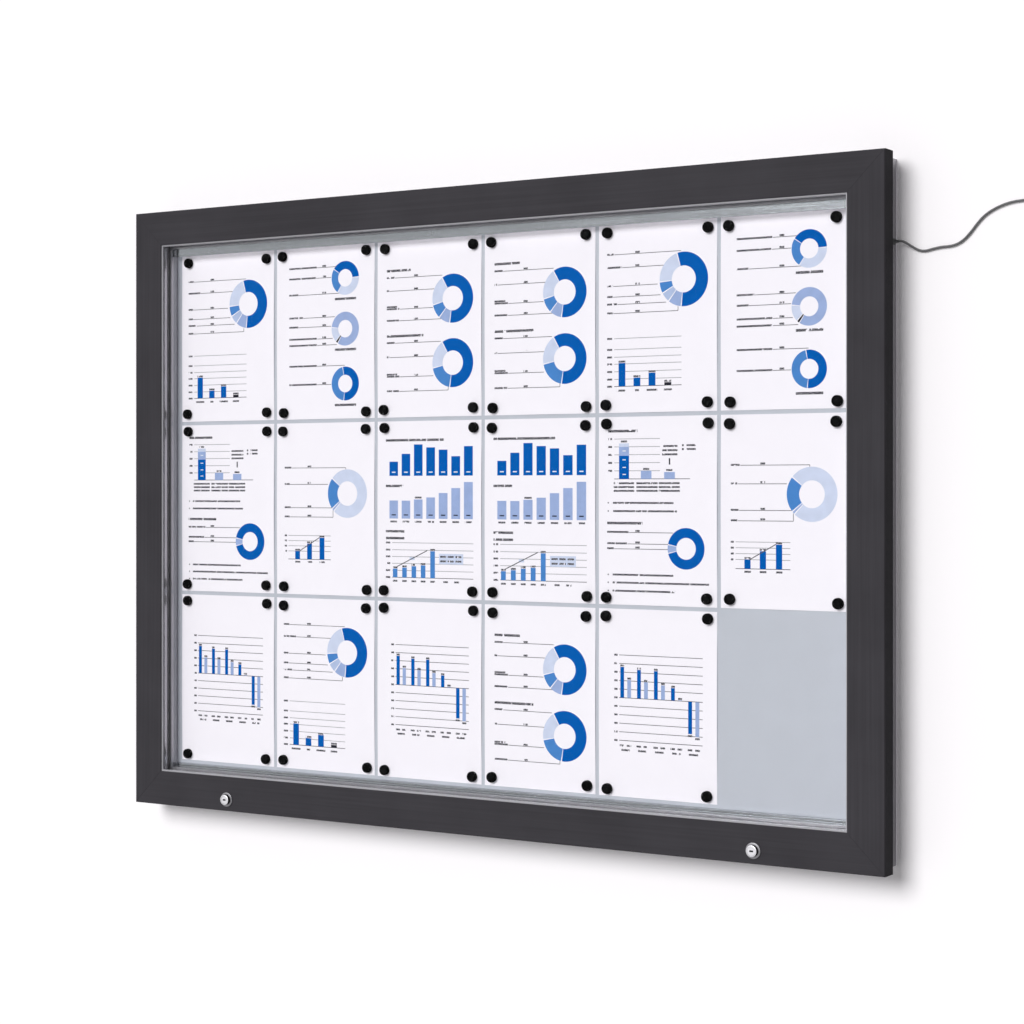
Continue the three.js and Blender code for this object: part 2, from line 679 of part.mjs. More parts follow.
// The coil's middle line: it spirals in and out again, and climbs a layer in each half turn of reversal.
function coilPath() {
  const start = cordRoute.at(-1)[0] + clearance;
  const centreX = start + cordDiameter;
  const climbs = coilLayers - 1;
  const turnsPerLayer = (coilTurns - climbs * climbTurns) / coilLayers;
  const outer = coilMeanRadius + turnsPerLayer * coilPitch / 2;
  const inner = outer - turnsPerLayer * coilPitch;
  const centreZ = cordRoute.at(-1)[2] - outer;
  const layerAndClimb = turnsPerLayer + climbTurns;
  const points = [new THREE.Vector3(start, wallLie, centreZ + outer)];
  const count = Math.round(coilTurns * coilSteps);
  for (let i = 0; i <= count; i += 1) {
    const turn = i / coilSteps;
    const layer = Math.min(Math.floor(turn / layerAndClimb), coilLayers - 1);
    const within = turn - layer * layerAndClimb;
    const inwards = layer % 2 === 0;
    const climbing = Math.max(within - turnsPerLayer, 0);
    const beyond = Math.min(climbing, climbTurns - climbing);
    const wound = Math.min(within, turnsPerLayer) + beyond;
    const radius = inwards ? outer - wound * coilPitch : inner + wound * coilPitch;
    const y = wallLie - (layer + climbing / climbTurns) * coilPitch;
    const angle = Math.PI / 2 - 2 * Math.PI * turn;
    points.push(new THREE.Vector3(centreX + radius * Math.cos(angle), y,
      centreZ + radius * Math.sin(angle)));
  }
  const last = points.at(-1);
  const heading = last.clone().sub(points.at(-2)).setY(0).normalize();
  for (let i = 1; i <= tailSteps; i += 1) {
    const run = i * tailLength / tailSteps;
    const t = THREE.MathUtils.smoothstep(run, tailStraight, tailLength - tailLength / tailSteps);
    const point = last.clone().addScaledVector(heading, run);
    point.y = last.y + t * (-plugRadius - cordLift - last.y);
    points.push(point);
  }
  return points;
}

// A round tube of flat sides along a row of points, closed at both ends.
function sweep(points, radius, sides) {
  const places = [];
  const faces = [];
  const wallNormal = new THREE.Vector3(0, 1, 0);
  points.forEach((point, i) => {
    const before = points[Math.max(i - 1, 0)];
    const after = points[Math.min(i + 1, points.length - 1)];
    const tangent = after.clone().sub(before).normalize();
    const across = tangent.clone().cross(wallNormal).normalize();
    const up = across.clone().cross(tangent);
    for (let k = 0; k < sides; k += 1) {
      const angle = 2 * Math.PI * k / sides;
      const corner = point.clone().addScaledVector(across, radius * Math.cos(angle))
        .addScaledVector(up, radius * Math.sin(angle));
      places.push(corner.x, corner.y, corner.z);
    }
  });
  const lastRing = (points.length - 1) * sides;
  for (let k = 0; k < sides; k += 1) {
    const next = (k + 1) % sides;
    for (let i = 0; i < lastRing; i += sides) {
      faces.push(i + k, i + next, i + sides + next, i + k, i + sides + next, i + sides + k);
    }
    if (k > 1) {
      faces.push(0, k, k - 1);
      faces.push(lastRing, lastRing + k - 1, lastRing + k);
    }
  }
  const geometry = new THREE.BufferGeometry();
  geometry.setAttribute('position', new THREE.Float32BufferAttribute(places, 3));
  geometry.setIndex(faces);
  return geometry;
}

// The least gap between the surfaces of stretches of a cord that lie half a turn or more apart.
function leastGap(points) {
  let least = Infinity;
  const nearest = new THREE.Vector3();
  for (let i = 0; i < points.length; i += 1) {
    for (let j = i + coilSteps / 2; j < points.length - 1; j += 1) {
      new THREE.Line3(points[j], points[j + 1]).closestPointToPoint(points[i], true, nearest);
      least = Math.min(least, nearest.distanceTo(points[i]));
    }
  }
  return least - cordDiameter;
}

function lengthOf(points) {
  return points.slice(1).reduce((sum, point, i) => sum + point.distanceTo(points[i]), 0);
}

function addLead() {
  const wallX = width / 2 - caseInset;
  const cableY = cableSetback - depth;
  add('cable_grommet', turned([
    [0, -caseWall - grommetFlange], [grommetFlangeRadius, -caseWall - grommetFlange],
    [grommetFlangeRadius, -caseWall], [grommetNeckRadius, -caseWall], [grommetNeckRadius, 0],
    [grommetFlangeRadius, 0], [grommetFlangeRadius, grommetFlange],
    [grommetNoseRadius, grommetFlange], [grommetTipRadius, grommetFlange + grommetNose],
    [0, grommetFlange + grommetNose],
  ], roundSides, 'x', wallX, cableY, cableHeight), rubber());
  const curve = new THREE.CatmullRomCurve3(cordRoute.map(([x, y, z]) => new THREE.Vector3(x, y, z)));
  const section = new THREE.Shape(Array.from({ length: cordSides }, (_, k) => new THREE.Vector2(
    Math.cos(2 * Math.PI * k / cordSides) * cordDiameter / 2,
    Math.sin(2 * Math.PI * k / cordSides) * cordDiameter / 2,
  )));
  add('cord_run', new THREE.ExtrudeGeometry(section, {
    steps: cordSteps, extrudePath: curve, bevelEnabled: false,
  }), vinyl());
  const loops = coilPath();
  add('cord_coil', sweep(loops, cordDiameter / 2, coilSides), vinyl());
  console.log(`lead ${(curve.getLength() + lengthOf(loops)).toFixed(0)} mm,`
    + ` least gap in the coil ${leastGap(loops).toFixed(2)} mm`);
  const end = loops.at(-1);
  const plug = turned([
    [0, 0], [plugNeckRadius, 0], [plugRadius, plugBoot], [plugRadius, plugBoot + plugBody],
    [plugBarrelRadius, plugBoot + plugBody], [plugBarrelRadius, plugBoot + plugBody + plugBarrel],
    [plugBoreRadius, plugBoot + plugBody + plugBarrel], [plugBoreRadius, plugBoot + plugBody],
    [0, plugBoot + plugBody],
  ], plugSides, 'y', 0, 0, 0);
  const heading = end.clone().sub(loops.at(-2)).normalize();
  const turn = new THREE.Quaternion().setFromUnitVectors(new THREE.Vector3(0, 1, 0), heading);
  const seat = end.clone().addScaledVector(heading, clearance);
  add('cord_plug', plug.applyQuaternion(turn).translate(seat.x, seat.y, seat.z), rubber());
}

addDoorFrame();
addCornerKeys();
addGlazing();
addCase();
addLightBar();
addHinge();
addLock('lock_left', -1);
addLock('lock_right', 1);
addStrut('gas_strut_left', -1);
addStrut('gas_strut_right', 1);
addLead();
addSheets();

export default board;
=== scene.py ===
"""Pieces, finishes and stage of a lockable, lit notice board for A4 sheets."""

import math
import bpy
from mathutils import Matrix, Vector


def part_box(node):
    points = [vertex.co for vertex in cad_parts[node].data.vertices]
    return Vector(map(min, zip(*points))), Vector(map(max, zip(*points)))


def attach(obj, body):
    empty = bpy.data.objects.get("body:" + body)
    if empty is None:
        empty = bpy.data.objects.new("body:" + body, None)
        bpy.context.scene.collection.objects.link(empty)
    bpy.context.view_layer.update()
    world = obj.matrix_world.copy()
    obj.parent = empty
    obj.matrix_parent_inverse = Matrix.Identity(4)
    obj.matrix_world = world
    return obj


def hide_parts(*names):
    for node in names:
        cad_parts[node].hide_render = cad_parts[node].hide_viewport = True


bl_info = {
    "name": "Lockable Notice Board",
    "version": (1, 0, 0),
    "blender": (4, 5, 0),
    "location": "View3D > Sidebar > Notice Board",
    "description": "Builds the pieces, finishes and stage of a lockable notice board",
    "category": "Add Mesh",
}

import bmesh
import bpy
from bpy.props import FloatProperty, FloatVectorProperty, IntProperty, PointerProperty
from bpy.types import Operator, Panel, PropertyGroup
from mathutils import Vector

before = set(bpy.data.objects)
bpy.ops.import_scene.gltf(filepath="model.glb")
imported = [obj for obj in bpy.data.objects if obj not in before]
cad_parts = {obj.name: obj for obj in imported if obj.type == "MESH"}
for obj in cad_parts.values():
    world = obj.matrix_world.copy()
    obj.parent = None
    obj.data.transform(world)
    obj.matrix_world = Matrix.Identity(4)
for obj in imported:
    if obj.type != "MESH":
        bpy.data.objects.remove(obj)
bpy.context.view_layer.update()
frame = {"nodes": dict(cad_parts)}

MM = 0.001
UPRIGHT = (math.pi / 2, 0, 0)
WHITE = (1.0, 1.0, 1.0)
SIDES = ("top_rail", "bottom_rail", "left_stile", "right_stile")
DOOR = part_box("door_top_rail")
HALF_WIDTH = DOOR[1].x
HALF_HEIGHT = DOOR[1].z
BOARD_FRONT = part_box("magnetic_board")[0].y

# The lead's middle line in metres: from the grommet along the wall, then as far as the coil.
LEAD_ROUTE = (
    (0.722, -0.01, 0.4), (0.727, -0.01, 0.3996), (0.733, -0.0082, 0.3966), (0.741, -0.0048, 0.391),
    (0.75, -0.0027, 0.386), (0.759, -0.0023, 0.3844), (0.771, -0.0023, 0.3864),
    (0.784, -0.0023, 0.3884), (0.797, -0.0023, 0.389), (0.808, -0.0023, 0.3912),
    (0.818, -0.0023, 0.3964), (0.829, -0.0023, 0.4066), (0.84, -0.0023, 0.4196),
    (0.85, -0.0023, 0.4294), (0.861, -0.0023, 0.4365), (0.875, -0.0023, 0.4426),
    (0.89, -0.0023, 0.4466), (0.905, -0.0023, 0.4482), (0.92, -0.0023, 0.4486),
    (0.935, -0.0023, 0.4486), (0.9497, -0.0023, 0.4486),
)
LEAD_GAP = 0.0003
COIL_TURNS = 13.25
COIL_LAYERS = 4
COIL_RADIUS = 0.021
COIL_PITCH = 0.0041
COIL_STEPS = 24
CLIMB_TURNS = 0.5
TAIL_LENGTH = 0.052
TAIL_STRAIGHT = 0.012
TAIL_STEPS = 8
PLUG_HEIGHT = -0.00555
TIE_WIDTH = 0.006
TIE_THICKNESS = 0.0004
STRUT_EYE = 0.007

# Which printed design hangs at each place, row by row; the last place of the bottom row is empty.
PLACES = ("ABCCAB", "DEFFDE", "GAGCG")


# Picking and shaping


def pick(*pieces):
    bpy.ops.object.select_all(action="DESELECT")
    for piece in pieces:
        piece.select_set(True)
    if pieces:
        bpy.context.view_layer.objects.active = pieces[0]


def settle(piece, angle=30.0):
    """Puts the piece's place into its mesh and shades it, sharp only past the angle."""
    pick(piece)
    bpy.ops.object.transform_apply(location=True, rotation=True, scale=True)
    bpy.ops.object.shade_smooth_by_angle(angle=math.radians(angle))
    return piece


def change(piece, kind, **settings):
    """Applies a modifier of that kind with those settings."""
    pick(piece)
    modifier = piece.modifiers.new(kind.title(), kind)
    for name, value in settings.items():
        setattr(modifier, name, value)
    bpy.ops.object.modifier_apply(modifier=modifier.name)


def cut(piece, *tools):
    """Takes the tools' shapes out of the piece."""
    for tool in tools:
        change(piece, "BOOLEAN", operation="DIFFERENCE", solver="EXACT", object=tool)
        bpy.data.objects.remove(tool)
    return settle(piece)


def join(first, *others):
    pick(first, *others)
    bpy.ops.object.join()
    return first


def dress(mesh, *finishes):
    """Gives a mesh its finishes in place of any that it has."""
    mesh.materials.clear()
    for finish in finishes:
        mesh.materials.append(bpy.data.materials[finish])


def dress_node(node, finish):
    """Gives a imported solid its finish."""
    dress(frame["nodes"][node].data, finish)


def keep(piece, name, body, slot, finish, *nodes):
    """Names a finished piece, gives it its finish and has it ride on its body."""
    piece.name = name
    piece.data.name = name
    if finish:
        dress(piece.data, finish)
    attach(piece, body)
    if nodes:
        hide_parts(*nodes)
    return piece


def copied(piece):
    """A new piece with a mesh of its own that is like the given one's."""
    twin = bpy.data.objects.new(piece.name, piece.data.copy())
    bpy.context.scene.collection.objects.link(twin)
    pick(twin)
    return twin


def copy_at(piece, offset):
    """A copy of the piece, moved in its mesh."""
    twin = copied(piece)
    twin.location = offset
    bpy.ops.object.transform_apply(location=True, rotation=False, scale=False)
    return twin


def choose(piece, kind, wanted):
    """Selects the wanted vertices, edges or faces and nothing else, in edit mode."""
    bpy.ops.mesh.select_all(action="DESELECT")
    mesh = bmesh.from_edit_mesh(piece.data)
    for part in getattr(mesh, kind):
        part.select = wanted(part)
    mesh.select_flush_mode()
    bmesh.update_edit_mesh(piece.data)


def open_box(low, high):
    """A box between two corners, left in edit mode."""
    low, high = Vector(low), Vector(high)
    pick()
    bpy.ops.mesh.primitive_cube_add(size=1, location=(low + high) / 2)
    bpy.ops.object.mode_set(mode="EDIT")
    bpy.ops.transform.resize(value=high - low)
    return bpy.context.object


def block(low, high, rounding=0.0):
    """A block between two corners with rounded edges."""
    piece = open_box(low, high)
    if rounding:
        bpy.ops.mesh.select_all(action="SELECT")
        bpy.ops.mesh.bevel(offset=rounding, segments=2, affect="EDGES")
    bpy.ops.object.mode_set(mode="OBJECT")
    return settle(piece)


def turned(outline, axis, place, sides=48, angle=30.0):
    """A turned piece: a circle pulled along its axis through each (radius, height) of the outline, in
    millimetres. A radius of nothing at an end closes that end; an outline that ends where it began
    makes a ring."""
    axis = Vector(axis).normalized()
    rings = [(radius * MM, height * MM) for radius, height in outline if radius > 0]
    pick()
    bpy.ops.mesh.primitive_circle_add(
        vertices=sides, radius=rings[0][0], fill_type="NOTHING" if outline[0][0] else "NGON",
        location=Vector(place) + axis * rings[0][1],
        rotation=axis.to_track_quat("Z", "Y").to_euler(),
    )
    piece = bpy.context.object
    bpy.ops.object.mode_set(mode="EDIT")
    for (radius, height), (next_radius, next_height) in zip(rings, rings[1:]):
        bpy.ops.mesh.extrude_edges_move(
            TRANSFORM_OT_translate={"value": axis * (next_height - height)}
        )
        if next_radius != radius:
            bpy.ops.transform.resize(value=[next_radius / radius] * 3)
    if outline[-1][0] == 0:
        bpy.ops.mesh.edge_face_add()
    bpy.ops.mesh.select_all(action="SELECT")
    if outline[0] == outline[-1]:
        bpy.ops.mesh.remove_doubles(threshold=1e-6)
    bpy.ops.mesh.normals_make_consistent(inside=False)
    bpy.ops.object.mode_set(mode="OBJECT")
    return settle(piece, angle)


def softened(node, width):
    """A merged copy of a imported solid, with its flat faces made whole and its arrises rounded."""
    piece = copied(frame["nodes"][node])
    bpy.ops.object.mode_set(mode="EDIT")
    bpy.ops.mesh.select_all(action="SELECT")
    bpy.ops.mesh.remove_doubles(threshold=1e-6)
    bpy.ops.mesh.dissolve_limited(angle_limit=math.radians(0.5), delimit={"NORMAL"})
    bpy.ops.object.mode_set(mode="OBJECT")
    if piece.data.has_custom_normals:
        bpy.ops.mesh.customdata_custom_splitnormals_clear()
    change(piece, "BEVEL", width=width, segments=2, limit_method="ANGLE", angle_limit=math.radians(35),
           use_clamp_overlap=True)
    settle(piece, 40.0)
    change(piece, "WEIGHTED_NORMAL", keep_sharp=True)
    return piece


def soften(node, width, name, body, slot, finish):
    """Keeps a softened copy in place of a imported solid."""
    keep(softened(node, width), name, body, slot, finish, node)


def paint(piece, finish, place, low, high, inner, outer=20):
    """Gives the faces between two depths and two radii another finish, in millimetres from the place."""
    piece.data.materials.append(bpy.data.materials[finish])
    for face in piece.data.polygons:
        x, depth, z = (face.center - place) / MM
        if low < depth < high and inner <= math.hypot(x, z) < outer:
            face.material_index = len(piece.data.materials) - 1


# Finishes


class Shading:
    """Shader nodes that are added and wired one by one."""

    def __init__(self, tree):
        self.nodes = tree.nodes
        self.links = tree.links

    def put(self, socket, value):
        if isinstance(value, bpy.types.NodeSocket):
            self.links.new(value, socket)
        elif socket.type == "RGBA":
            socket.default_value = (*value[:3], 1.0)
        else:
            socket.default_value = value

    def add(self, kind, *values, **named):
        """A node with its sockets filled, in order or by name."""
        node = self.nodes.new("ShaderNode" + kind)
        for socket, value in zip(node.inputs, values):
            self.put(socket, value)
        for name, value in named.items():
            self.put(node.inputs[name], value)
        return node

    def math(self, operation, *values):
        node = self.add("Math", *values)
        node.operation = operation
        return node.outputs[0]

    def mix(self, share, first, second):
        """A colour between two colours."""
        node = self.add("Mix", share)
        node.data_type = "RGBA"
        self.put(node.inputs[6], first)
        self.put(node.inputs[7], second)
        return node.outputs[2]

    def spread(self, value, low, high, new_low, new_high):
        return self.add("MapRange", value, low, high, new_low, new_high).outputs[0]


class Finish(Shading):
    """A material that is put together node by node on the piece's own coordinates."""

    def __init__(self, name, colour, roughness, metallic=0.0, **numbers):
        self.material = bpy.data.materials.new(name)
        self.material.use_nodes = True
        self.material.diffuse_color = (*colour, 1.0)
        super().__init__(self.material.node_tree)
        self.shader = self.nodes["Principled BSDF"]
        self.colour = colour
        self.roughness = roughness
        self.set("Base Color", colour)
        self.set("Roughness", roughness)
        self.set("Metallic", metallic)
        for name, number in numbers.items():
            self.set(name.replace("_", " "), number)
        self.place = self.add("TexCoord").outputs["Object"]

    def set(self, name, value):
        self.put(self.shader.inputs[name], value)

    def noise(self, scale, detail=3.0, stretch=WHITE):
        """Noise of that many features a metre, stretched along an axis by a lower share."""
        mapping = self.add("Mapping", Vector=self.place, Scale=stretch)
        return self.add("TexNoise", Vector=mapping.outputs[0], Scale=scale, Detail=detail).outputs["Fac"]

    def axes(self):
        return self.add("SeparateXYZ", self.place).outputs

    def past_mitre(self):
        """How far a place lies past the corner's diagonal: below nothing on a stile, above on a rail."""
        x, y, z = self.axes()
        from_side = self.math("SUBTRACT", HALF_WIDTH, self.math("ABSOLUTE", x))
        from_end = self.math("SUBTRACT", HALF_HEIGHT, self.math("ABSOLUTE", z))
        return self.math("SUBTRACT", from_side, from_end)

    def drawn(self, across, along):
        """Streaks that run along each rail and change direction at the mitres."""
        stile = self.noise(1.0, 4.0, (across, across, along))
        rail = self.noise(1.0, 4.0, (along, across, across))
        is_stile = self.math("LESS_THAN", self.past_mitre(), 0.0)
        return self.spread(is_stile, 0.0, 1.0, rail, stile)

    def vary_colour(self, value, share, low=0.3, high=0.7):
        """Colour from a little darker to a little lighter."""
        dark = tuple(c * (1 - share) for c in self.colour)
        pale = tuple(min(c * (1 + share), 1.0) for c in self.colour)
        return self.mix(self.spread(value, low, high, 0.0, 1.0), dark, pale)

    def vary_roughness(self, value, share, low=0.3, high=0.7):
        limits = self.roughness - share, self.roughness + share
        self.set("Roughness", self.spread(value, low, high, *limits))

    def relief(self, value, strength, depth):
        bump = self.add("Bump", Strength=strength, Distance=depth, Height=value)
        self.set("Normal", bump.outputs["Normal"])

    def let_through(self, share, tint=WHITE):
        """Lets light straight through by a share."""
        clear = self.add("BsdfTransparent", tint)
        blend = self.add("MixShader", share, self.shader.outputs[0], clear.outputs[0])
        self.put(self.nodes["Material Output"].inputs["Surface"], blend.outputs[0])


def grained(name, colour, roughness, metallic, grain, share, rough, relief, **numbers):
    """A finish with an even grain in its colour, gloss and relief."""
    finish = Finish(name, tuple(colour), roughness, metallic, **numbers)
    cloud = finish.noise(grain / 40, 2.0)
    fine = finish.noise(grain, 4.0)
    finish.set("Base Color", finish.vary_colour(cloud, share))
    finish.vary_roughness(fine, rough)
    finish.relief(fine, relief, 0.00005)


def make_frame_coat(colour):
    finish = Finish("Anthracite coat", tuple(colour), 0.5, Specular_IOR_Level=0.02)
    streaks = finish.math("MULTIPLY", finish.drawn(240.0, 4.0), 0.5)
    cloud = finish.math("MULTIPLY", finish.noise(11.0), 0.5)
    coat = finish.vary_colour(finish.math("ADD", streaks, cloud), 0.14)
    joint = finish.math("ABSOLUTE", finish.past_mitre())
    line = finish.spread(joint, 0.00025, 0.0006, 0.25, 0.0)
    finish.set("Base Color", finish.mix(line, coat, (0.012, 0.012, 0.014)))
    peel = finish.noise(1900.0, 2.0)
    finish.vary_roughness(peel, 0.06)
    finish.relief(peel, 0.12, 0.00004)


def make_drawn_metal(name, colour, roughness, metallic, relief):
    """Anodised aluminium, brushed along each rail."""
    finish = Finish(name, tuple(colour), roughness, metallic, Specular_IOR_Level=0.2)
    streaks = finish.drawn(1500.0, 6.0)
    finish.set("Base Color", finish.vary_colour(streaks, 0.12))
    finish.vary_roughness(streaks, 0.05)
    finish.relief(streaks, relief, 0.00003)


def make_zinc():
    finish = Finish("Zinc plate", (0.64, 0.66, 0.68), 0.45, 0.2)
    cells = finish.add("TexVoronoi", Vector=finish.place, Scale=110.0)
    spangle = finish.add("RGBToBW", cells.outputs["Color"]).outputs[0]
    finish.set("Base Color", finish.vary_colour(spangle, 0.07, 0.1, 0.9))
    finish.vary_roughness(spangle, 0.09, 0.1, 0.9)
    finish.relief(finish.noise(1500.0), 0.1, 0.00003)


def make_glass():
    """Clear glass that lets the lamps through to the sheets behind it."""
    finish = Finish("Clear glass", (0.975, 0.985, 0.98), 0.02, IOR=1.06, Transmission_Weight=1.0)
    finish.vary_roughness(finish.noise(9.0), 0.015)
    ray = finish.add("LightPath").outputs
    unseen = finish.math("MAXIMUM", ray["Is Shadow Ray"], ray["Is Diffuse Ray"])
    finish.let_through(unseen, (0.985, 0.99, 0.988))


def make_greeked(paper, ink):
    """Print too small to read: broken strokes in word-long runs on the paper."""
    finish = Finish("Small print", tuple(paper), 0.7, Specular_IOR_Level=0.03)
    strokes = finish.math("GREATER_THAN", finish.noise(1.0, 1.0, (1500.0, 1.0, 1100.0)), 0.4)
    words = finish.math("GREATER_THAN", finish.noise(1.0, 1.0, (190.0, 1.0, 60.0)), 0.36)
    finish.set("Base Color", finish.mix(finish.math("MULTIPLY", strokes, words), paper, ink))


def make_light_strip():
    """White strip with a pale yellow lamp at each pitch."""
    white = (0.85, 0.86, 0.84)
    finish = Finish("Lamp strip", white, 0.5)
    low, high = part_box("led_strip")
    half_pitch = (high.x - low.x) / 30 / 2
    along = finish.math("ABSOLUTE", finish.math("WRAP", finish.axes()[0], half_pitch, -half_pitch))
    lamp = finish.math("GREATER_THAN", along, half_pitch - 0.0026)
    finish.set("Base Color", finish.mix(lamp, white, (0.9, 0.78, 0.3)))
    finish.vary_roughness(finish.noise(500.0), 0.05)


def make_finishes(colours):
    """Mixes every finish. A grained one has its colour, roughness and metallic, then its grains a
    metre, the shares by which colour and roughness vary, its relief and its specular level."""
    make_frame_coat(colours.frame)
    make_drawn_metal("Anodised metal", colours.metal, 0.2, 0.7, 0.1)
    make_drawn_metal("Smooth metal", colours.strips, 0.15, 1.0, 0.04)
    make_drawn_metal("Bright bead", colours.bead, 0.45, 0.25, 0.2)
    make_zinc()
    make_glass()
    make_greeked(colours.paper, colours.black_ink)
    make_light_strip()
    for *values, specular in (
        ("Polished steel", (0.62, 0.62, 0.64), 0.24, 1.0, 700.0, 0.05, 0.05, 0.03, 0.5),
        ("Satin chrome", (0.66, 0.65, 0.68), 0.4, 1.0, 700.0, 0.04, 0.04, 0.03, 0.5),
        ("Dull chrome", (0.24, 0.235, 0.25), 0.42, 1.0, 700.0, 0.08, 0.04, 0.05, 0.5),
        # Flat near-black that stands in for light: a painted reflection of the dark door on the lock
        # barrels' sides, and painted shade inside the keyways.
        ("Burnished steel", (0.008, 0.008, 0.009), 0.35, 0.0, 900.0, 0.2, 0.05, 0.05, 0.12),
        ("Board enamel", colours.board, 0.38, 0.0, 1200.0, 0.015, 0.04, 0.05, 0.1),
        ("Paper", colours.paper, 0.75, 0.0, 2600.0, 0.008, 0.04, 0.12, 0.03),
        ("Black rubber", (0.012, 0.012, 0.013), 0.75, 0.0, 1600.0, 0.2, 0.05, 0.3, 0.5),
        ("Grey rubber", (0.16, 0.157, 0.167), 0.75, 0.0, 1600.0, 0.1, 0.05, 0.3, 0.5),
        ("Black paint", (0.016, 0.016, 0.018), 0.36, 0.0, 800.0, 0.12, 0.05, 0.08, 0.5),
        ("Magnet cap", colours.magnet, 0.55, 0.0, 2200.0, 0.15, 0.05, 0.25, 0.03),
        ("Lead sheath", colours.lead, 0.48, 0.0, 1500.0, 0.1, 0.05, 0.15, 0.5),
    ):
        grained(*values, Specular_IOR_Level=specular)
    grained("Opal sheet", (0.86, 0.87, 0.86), 0.45, 0.0, 600.0, 0.02, 0.05, 0.05,
            Emission_Color=WHITE, Emission_Strength=0.4)
    for ink in INKS:
        grained("Ink " + ink, getattr(colours, ink + "_ink"), 0.65, 0.0, 3200.0, 0.05, 0.05, 0.05,
                Specular_IOR_Level=0.03)


# Printed sheets. Sizes are in millimetres from a sheet's upper left corner, X right and Y down.

INKS = ("dark", "mid", "light", "soft", "pale", "black", "grey", "faint", "white")
RING_SIDES = 144
RULE_WIDTH = 1.0
WORD_HEIGHT = 3.0
TREND_WIDTH = 1.6

# How far each kind of mark stands off the rules, in metres, so that none lie in one plane.
BAR_LIFT = 0.00003
PATCH_LIFT = 0.00006
TREND_LIFT = 0.00008
WORD_LIFT = 0.00009


class Page:
    """Lays one design's marks on a sheet whose upper left corner is the origin."""

    def __init__(self, piece, front):
        self.piece = piece
        self.front = front

    def place_of(self, ink):
        """An ink's place among the sheet's finishes: the paper is first, the words are last."""
        return 1 + (*INKS, "words").index(ink)

    def patch(self, ink, left, right, top, bottom, lift=PATCH_LIFT):
        bpy.ops.mesh.primitive_plane_add(
            size=1, location=((left + right) / 2 * MM, self.front - lift, -(top + bottom) / 2 * MM),
            rotation=UPRIGHT,
        )
        bpy.ops.transform.resize(value=((right - left) * MM, 1, (bottom - top) * MM))
        self.piece.active_material_index = self.place_of(ink)
        bpy.ops.object.material_slot_assign()

    def words(self, left, right, *heights):
        for y in heights:
            self.patch("words", left, right, y - WORD_HEIGHT / 2, y + WORD_HEIGHT / 2, WORD_LIFT)

    def row(self, y, width, starts):
        """Words of one width at each start."""
        for x in starts:
            self.words(x, x + width, y)

    def rule(self, ink, left, right, *heights):
        for y in heights:
            self.patch(ink, left, right, y - RULE_WIDTH / 2, y + RULE_WIDTH / 2, 0.0)

    def stroke(self, x, top, bottom):
        self.patch("grey", x - RULE_WIDTH / 2, x + RULE_WIDTH / 2, top, bottom, 0.0)

    def bars(self, ink, width, foot, bars):
        """Bars on a foot, from the left edge and height of each."""
        for left, height in bars:
            self.patch(ink, left, left + width, foot - height, foot, BAR_LIFT)

    def values(self, width, foot, bars):
        """Words above bars."""
        for left, height in bars:
            self.words(left, left + width, foot - height - 2.2)

    def leaders(self, left, places, number):
        """Rows of a label with a thin rule that runs from it to the ring, and a number above it."""
        for y, label_end, rule_end in places:
            self.words(left, label_end, y)
            self.rule("grey", label_end + 1, rule_end, y + 0.7)
            self.words(number - 4, number + 4, y - 1.8)

    def gridlines(self, left, right, heights, axis_left, axis_right, ink="faint"):
        self.rule(ink, left, right, *heights)
        self.words(axis_left, axis_right, *heights)

    def trend(self, x0, y0, x1, y1):
        """A slanted rule."""
        middle = (y0 + y1) / 2
        self.patch("grey", x0, x1, middle - TREND_WIDTH / 2, middle + TREND_WIDTH / 2, TREND_LIFT)
        mesh = bmesh.from_edit_mesh(self.piece.data)
        for vertex in mesh.verts:
            if vertex.select:
                vertex.co.z += (y0 - y1) / 2 * MM * (1 if vertex.co.x > (x0 + x1) / 2 * MM else -1)
        bmesh.update_edit_mesh(self.piece.data)

    def ring(self, x, y, outer, inner, sectors):
        """A flat ring: a disc inset to leave its hole. Each sector's ink runs from its own angle to
        the next sector's, and its first face stays bare paper, as a thin gap between them."""
        bpy.ops.mesh.primitive_circle_add(
            vertices=RING_SIDES, radius=outer * MM, fill_type="NGON",
            location=(x * MM, self.front - BAR_LIFT, -y * MM), rotation=UPRIGHT,
        )
        bpy.ops.mesh.inset(thickness=(outer - inner) * MM, use_boundary=True, use_select_inset=True)
        for face in bmesh.from_edit_mesh(self.piece.data).faces:
            middle = face.calc_center_median()
            angle = math.degrees(math.atan2(middle.z + y * MM, middle.x - x * MM))
            past, ink = min(((angle - start) % 360, ink) for ink, start in sectors)
            if face.select and past > 360 / RING_SIDES:
                face.material_index = self.place_of(ink)
        choose(self.piece, "faces", lambda face: len(face.verts) == RING_SIDES)
        bpy.ops.mesh.delete(type="FACE")


def design_a(page):
    bars = [(35.8, 36.8), (62.8, 13), (89.8, 20), (117.8, 4.5)]
    page.ring(152, 91, 42.5, 21, [("dark", -96.6), ("pale", 104.5), ("mid", 183.5), ("soft", 206.6),
                                  ("light", 230)])
    page.leaders(15, [(46, 27, 147), (67, 42, 118), (96, 25, 106), (113, 25, 111), (125, 33, 121),
                      (139, 26, 142)], 70)
    page.stroke(142, 133, 139.7)
    page.gridlines(28, 148, [179.6, 197, 209, 220, 232, 244], 15, 24)
    page.rule("black", 28, 148, 255.4)
    page.words(15, 24, 255.4)
    page.bars("dark", 12.3, 255.2, bars[:3])
    page.bars("black", 12.3, 255.2, bars[3:])
    page.values(12.3, 255.2, bars)
    for middle, width in ((42, 19), (69, 7), (96, 19), (124, 14)):
        page.words(middle - width / 2, middle + width / 2, 262)


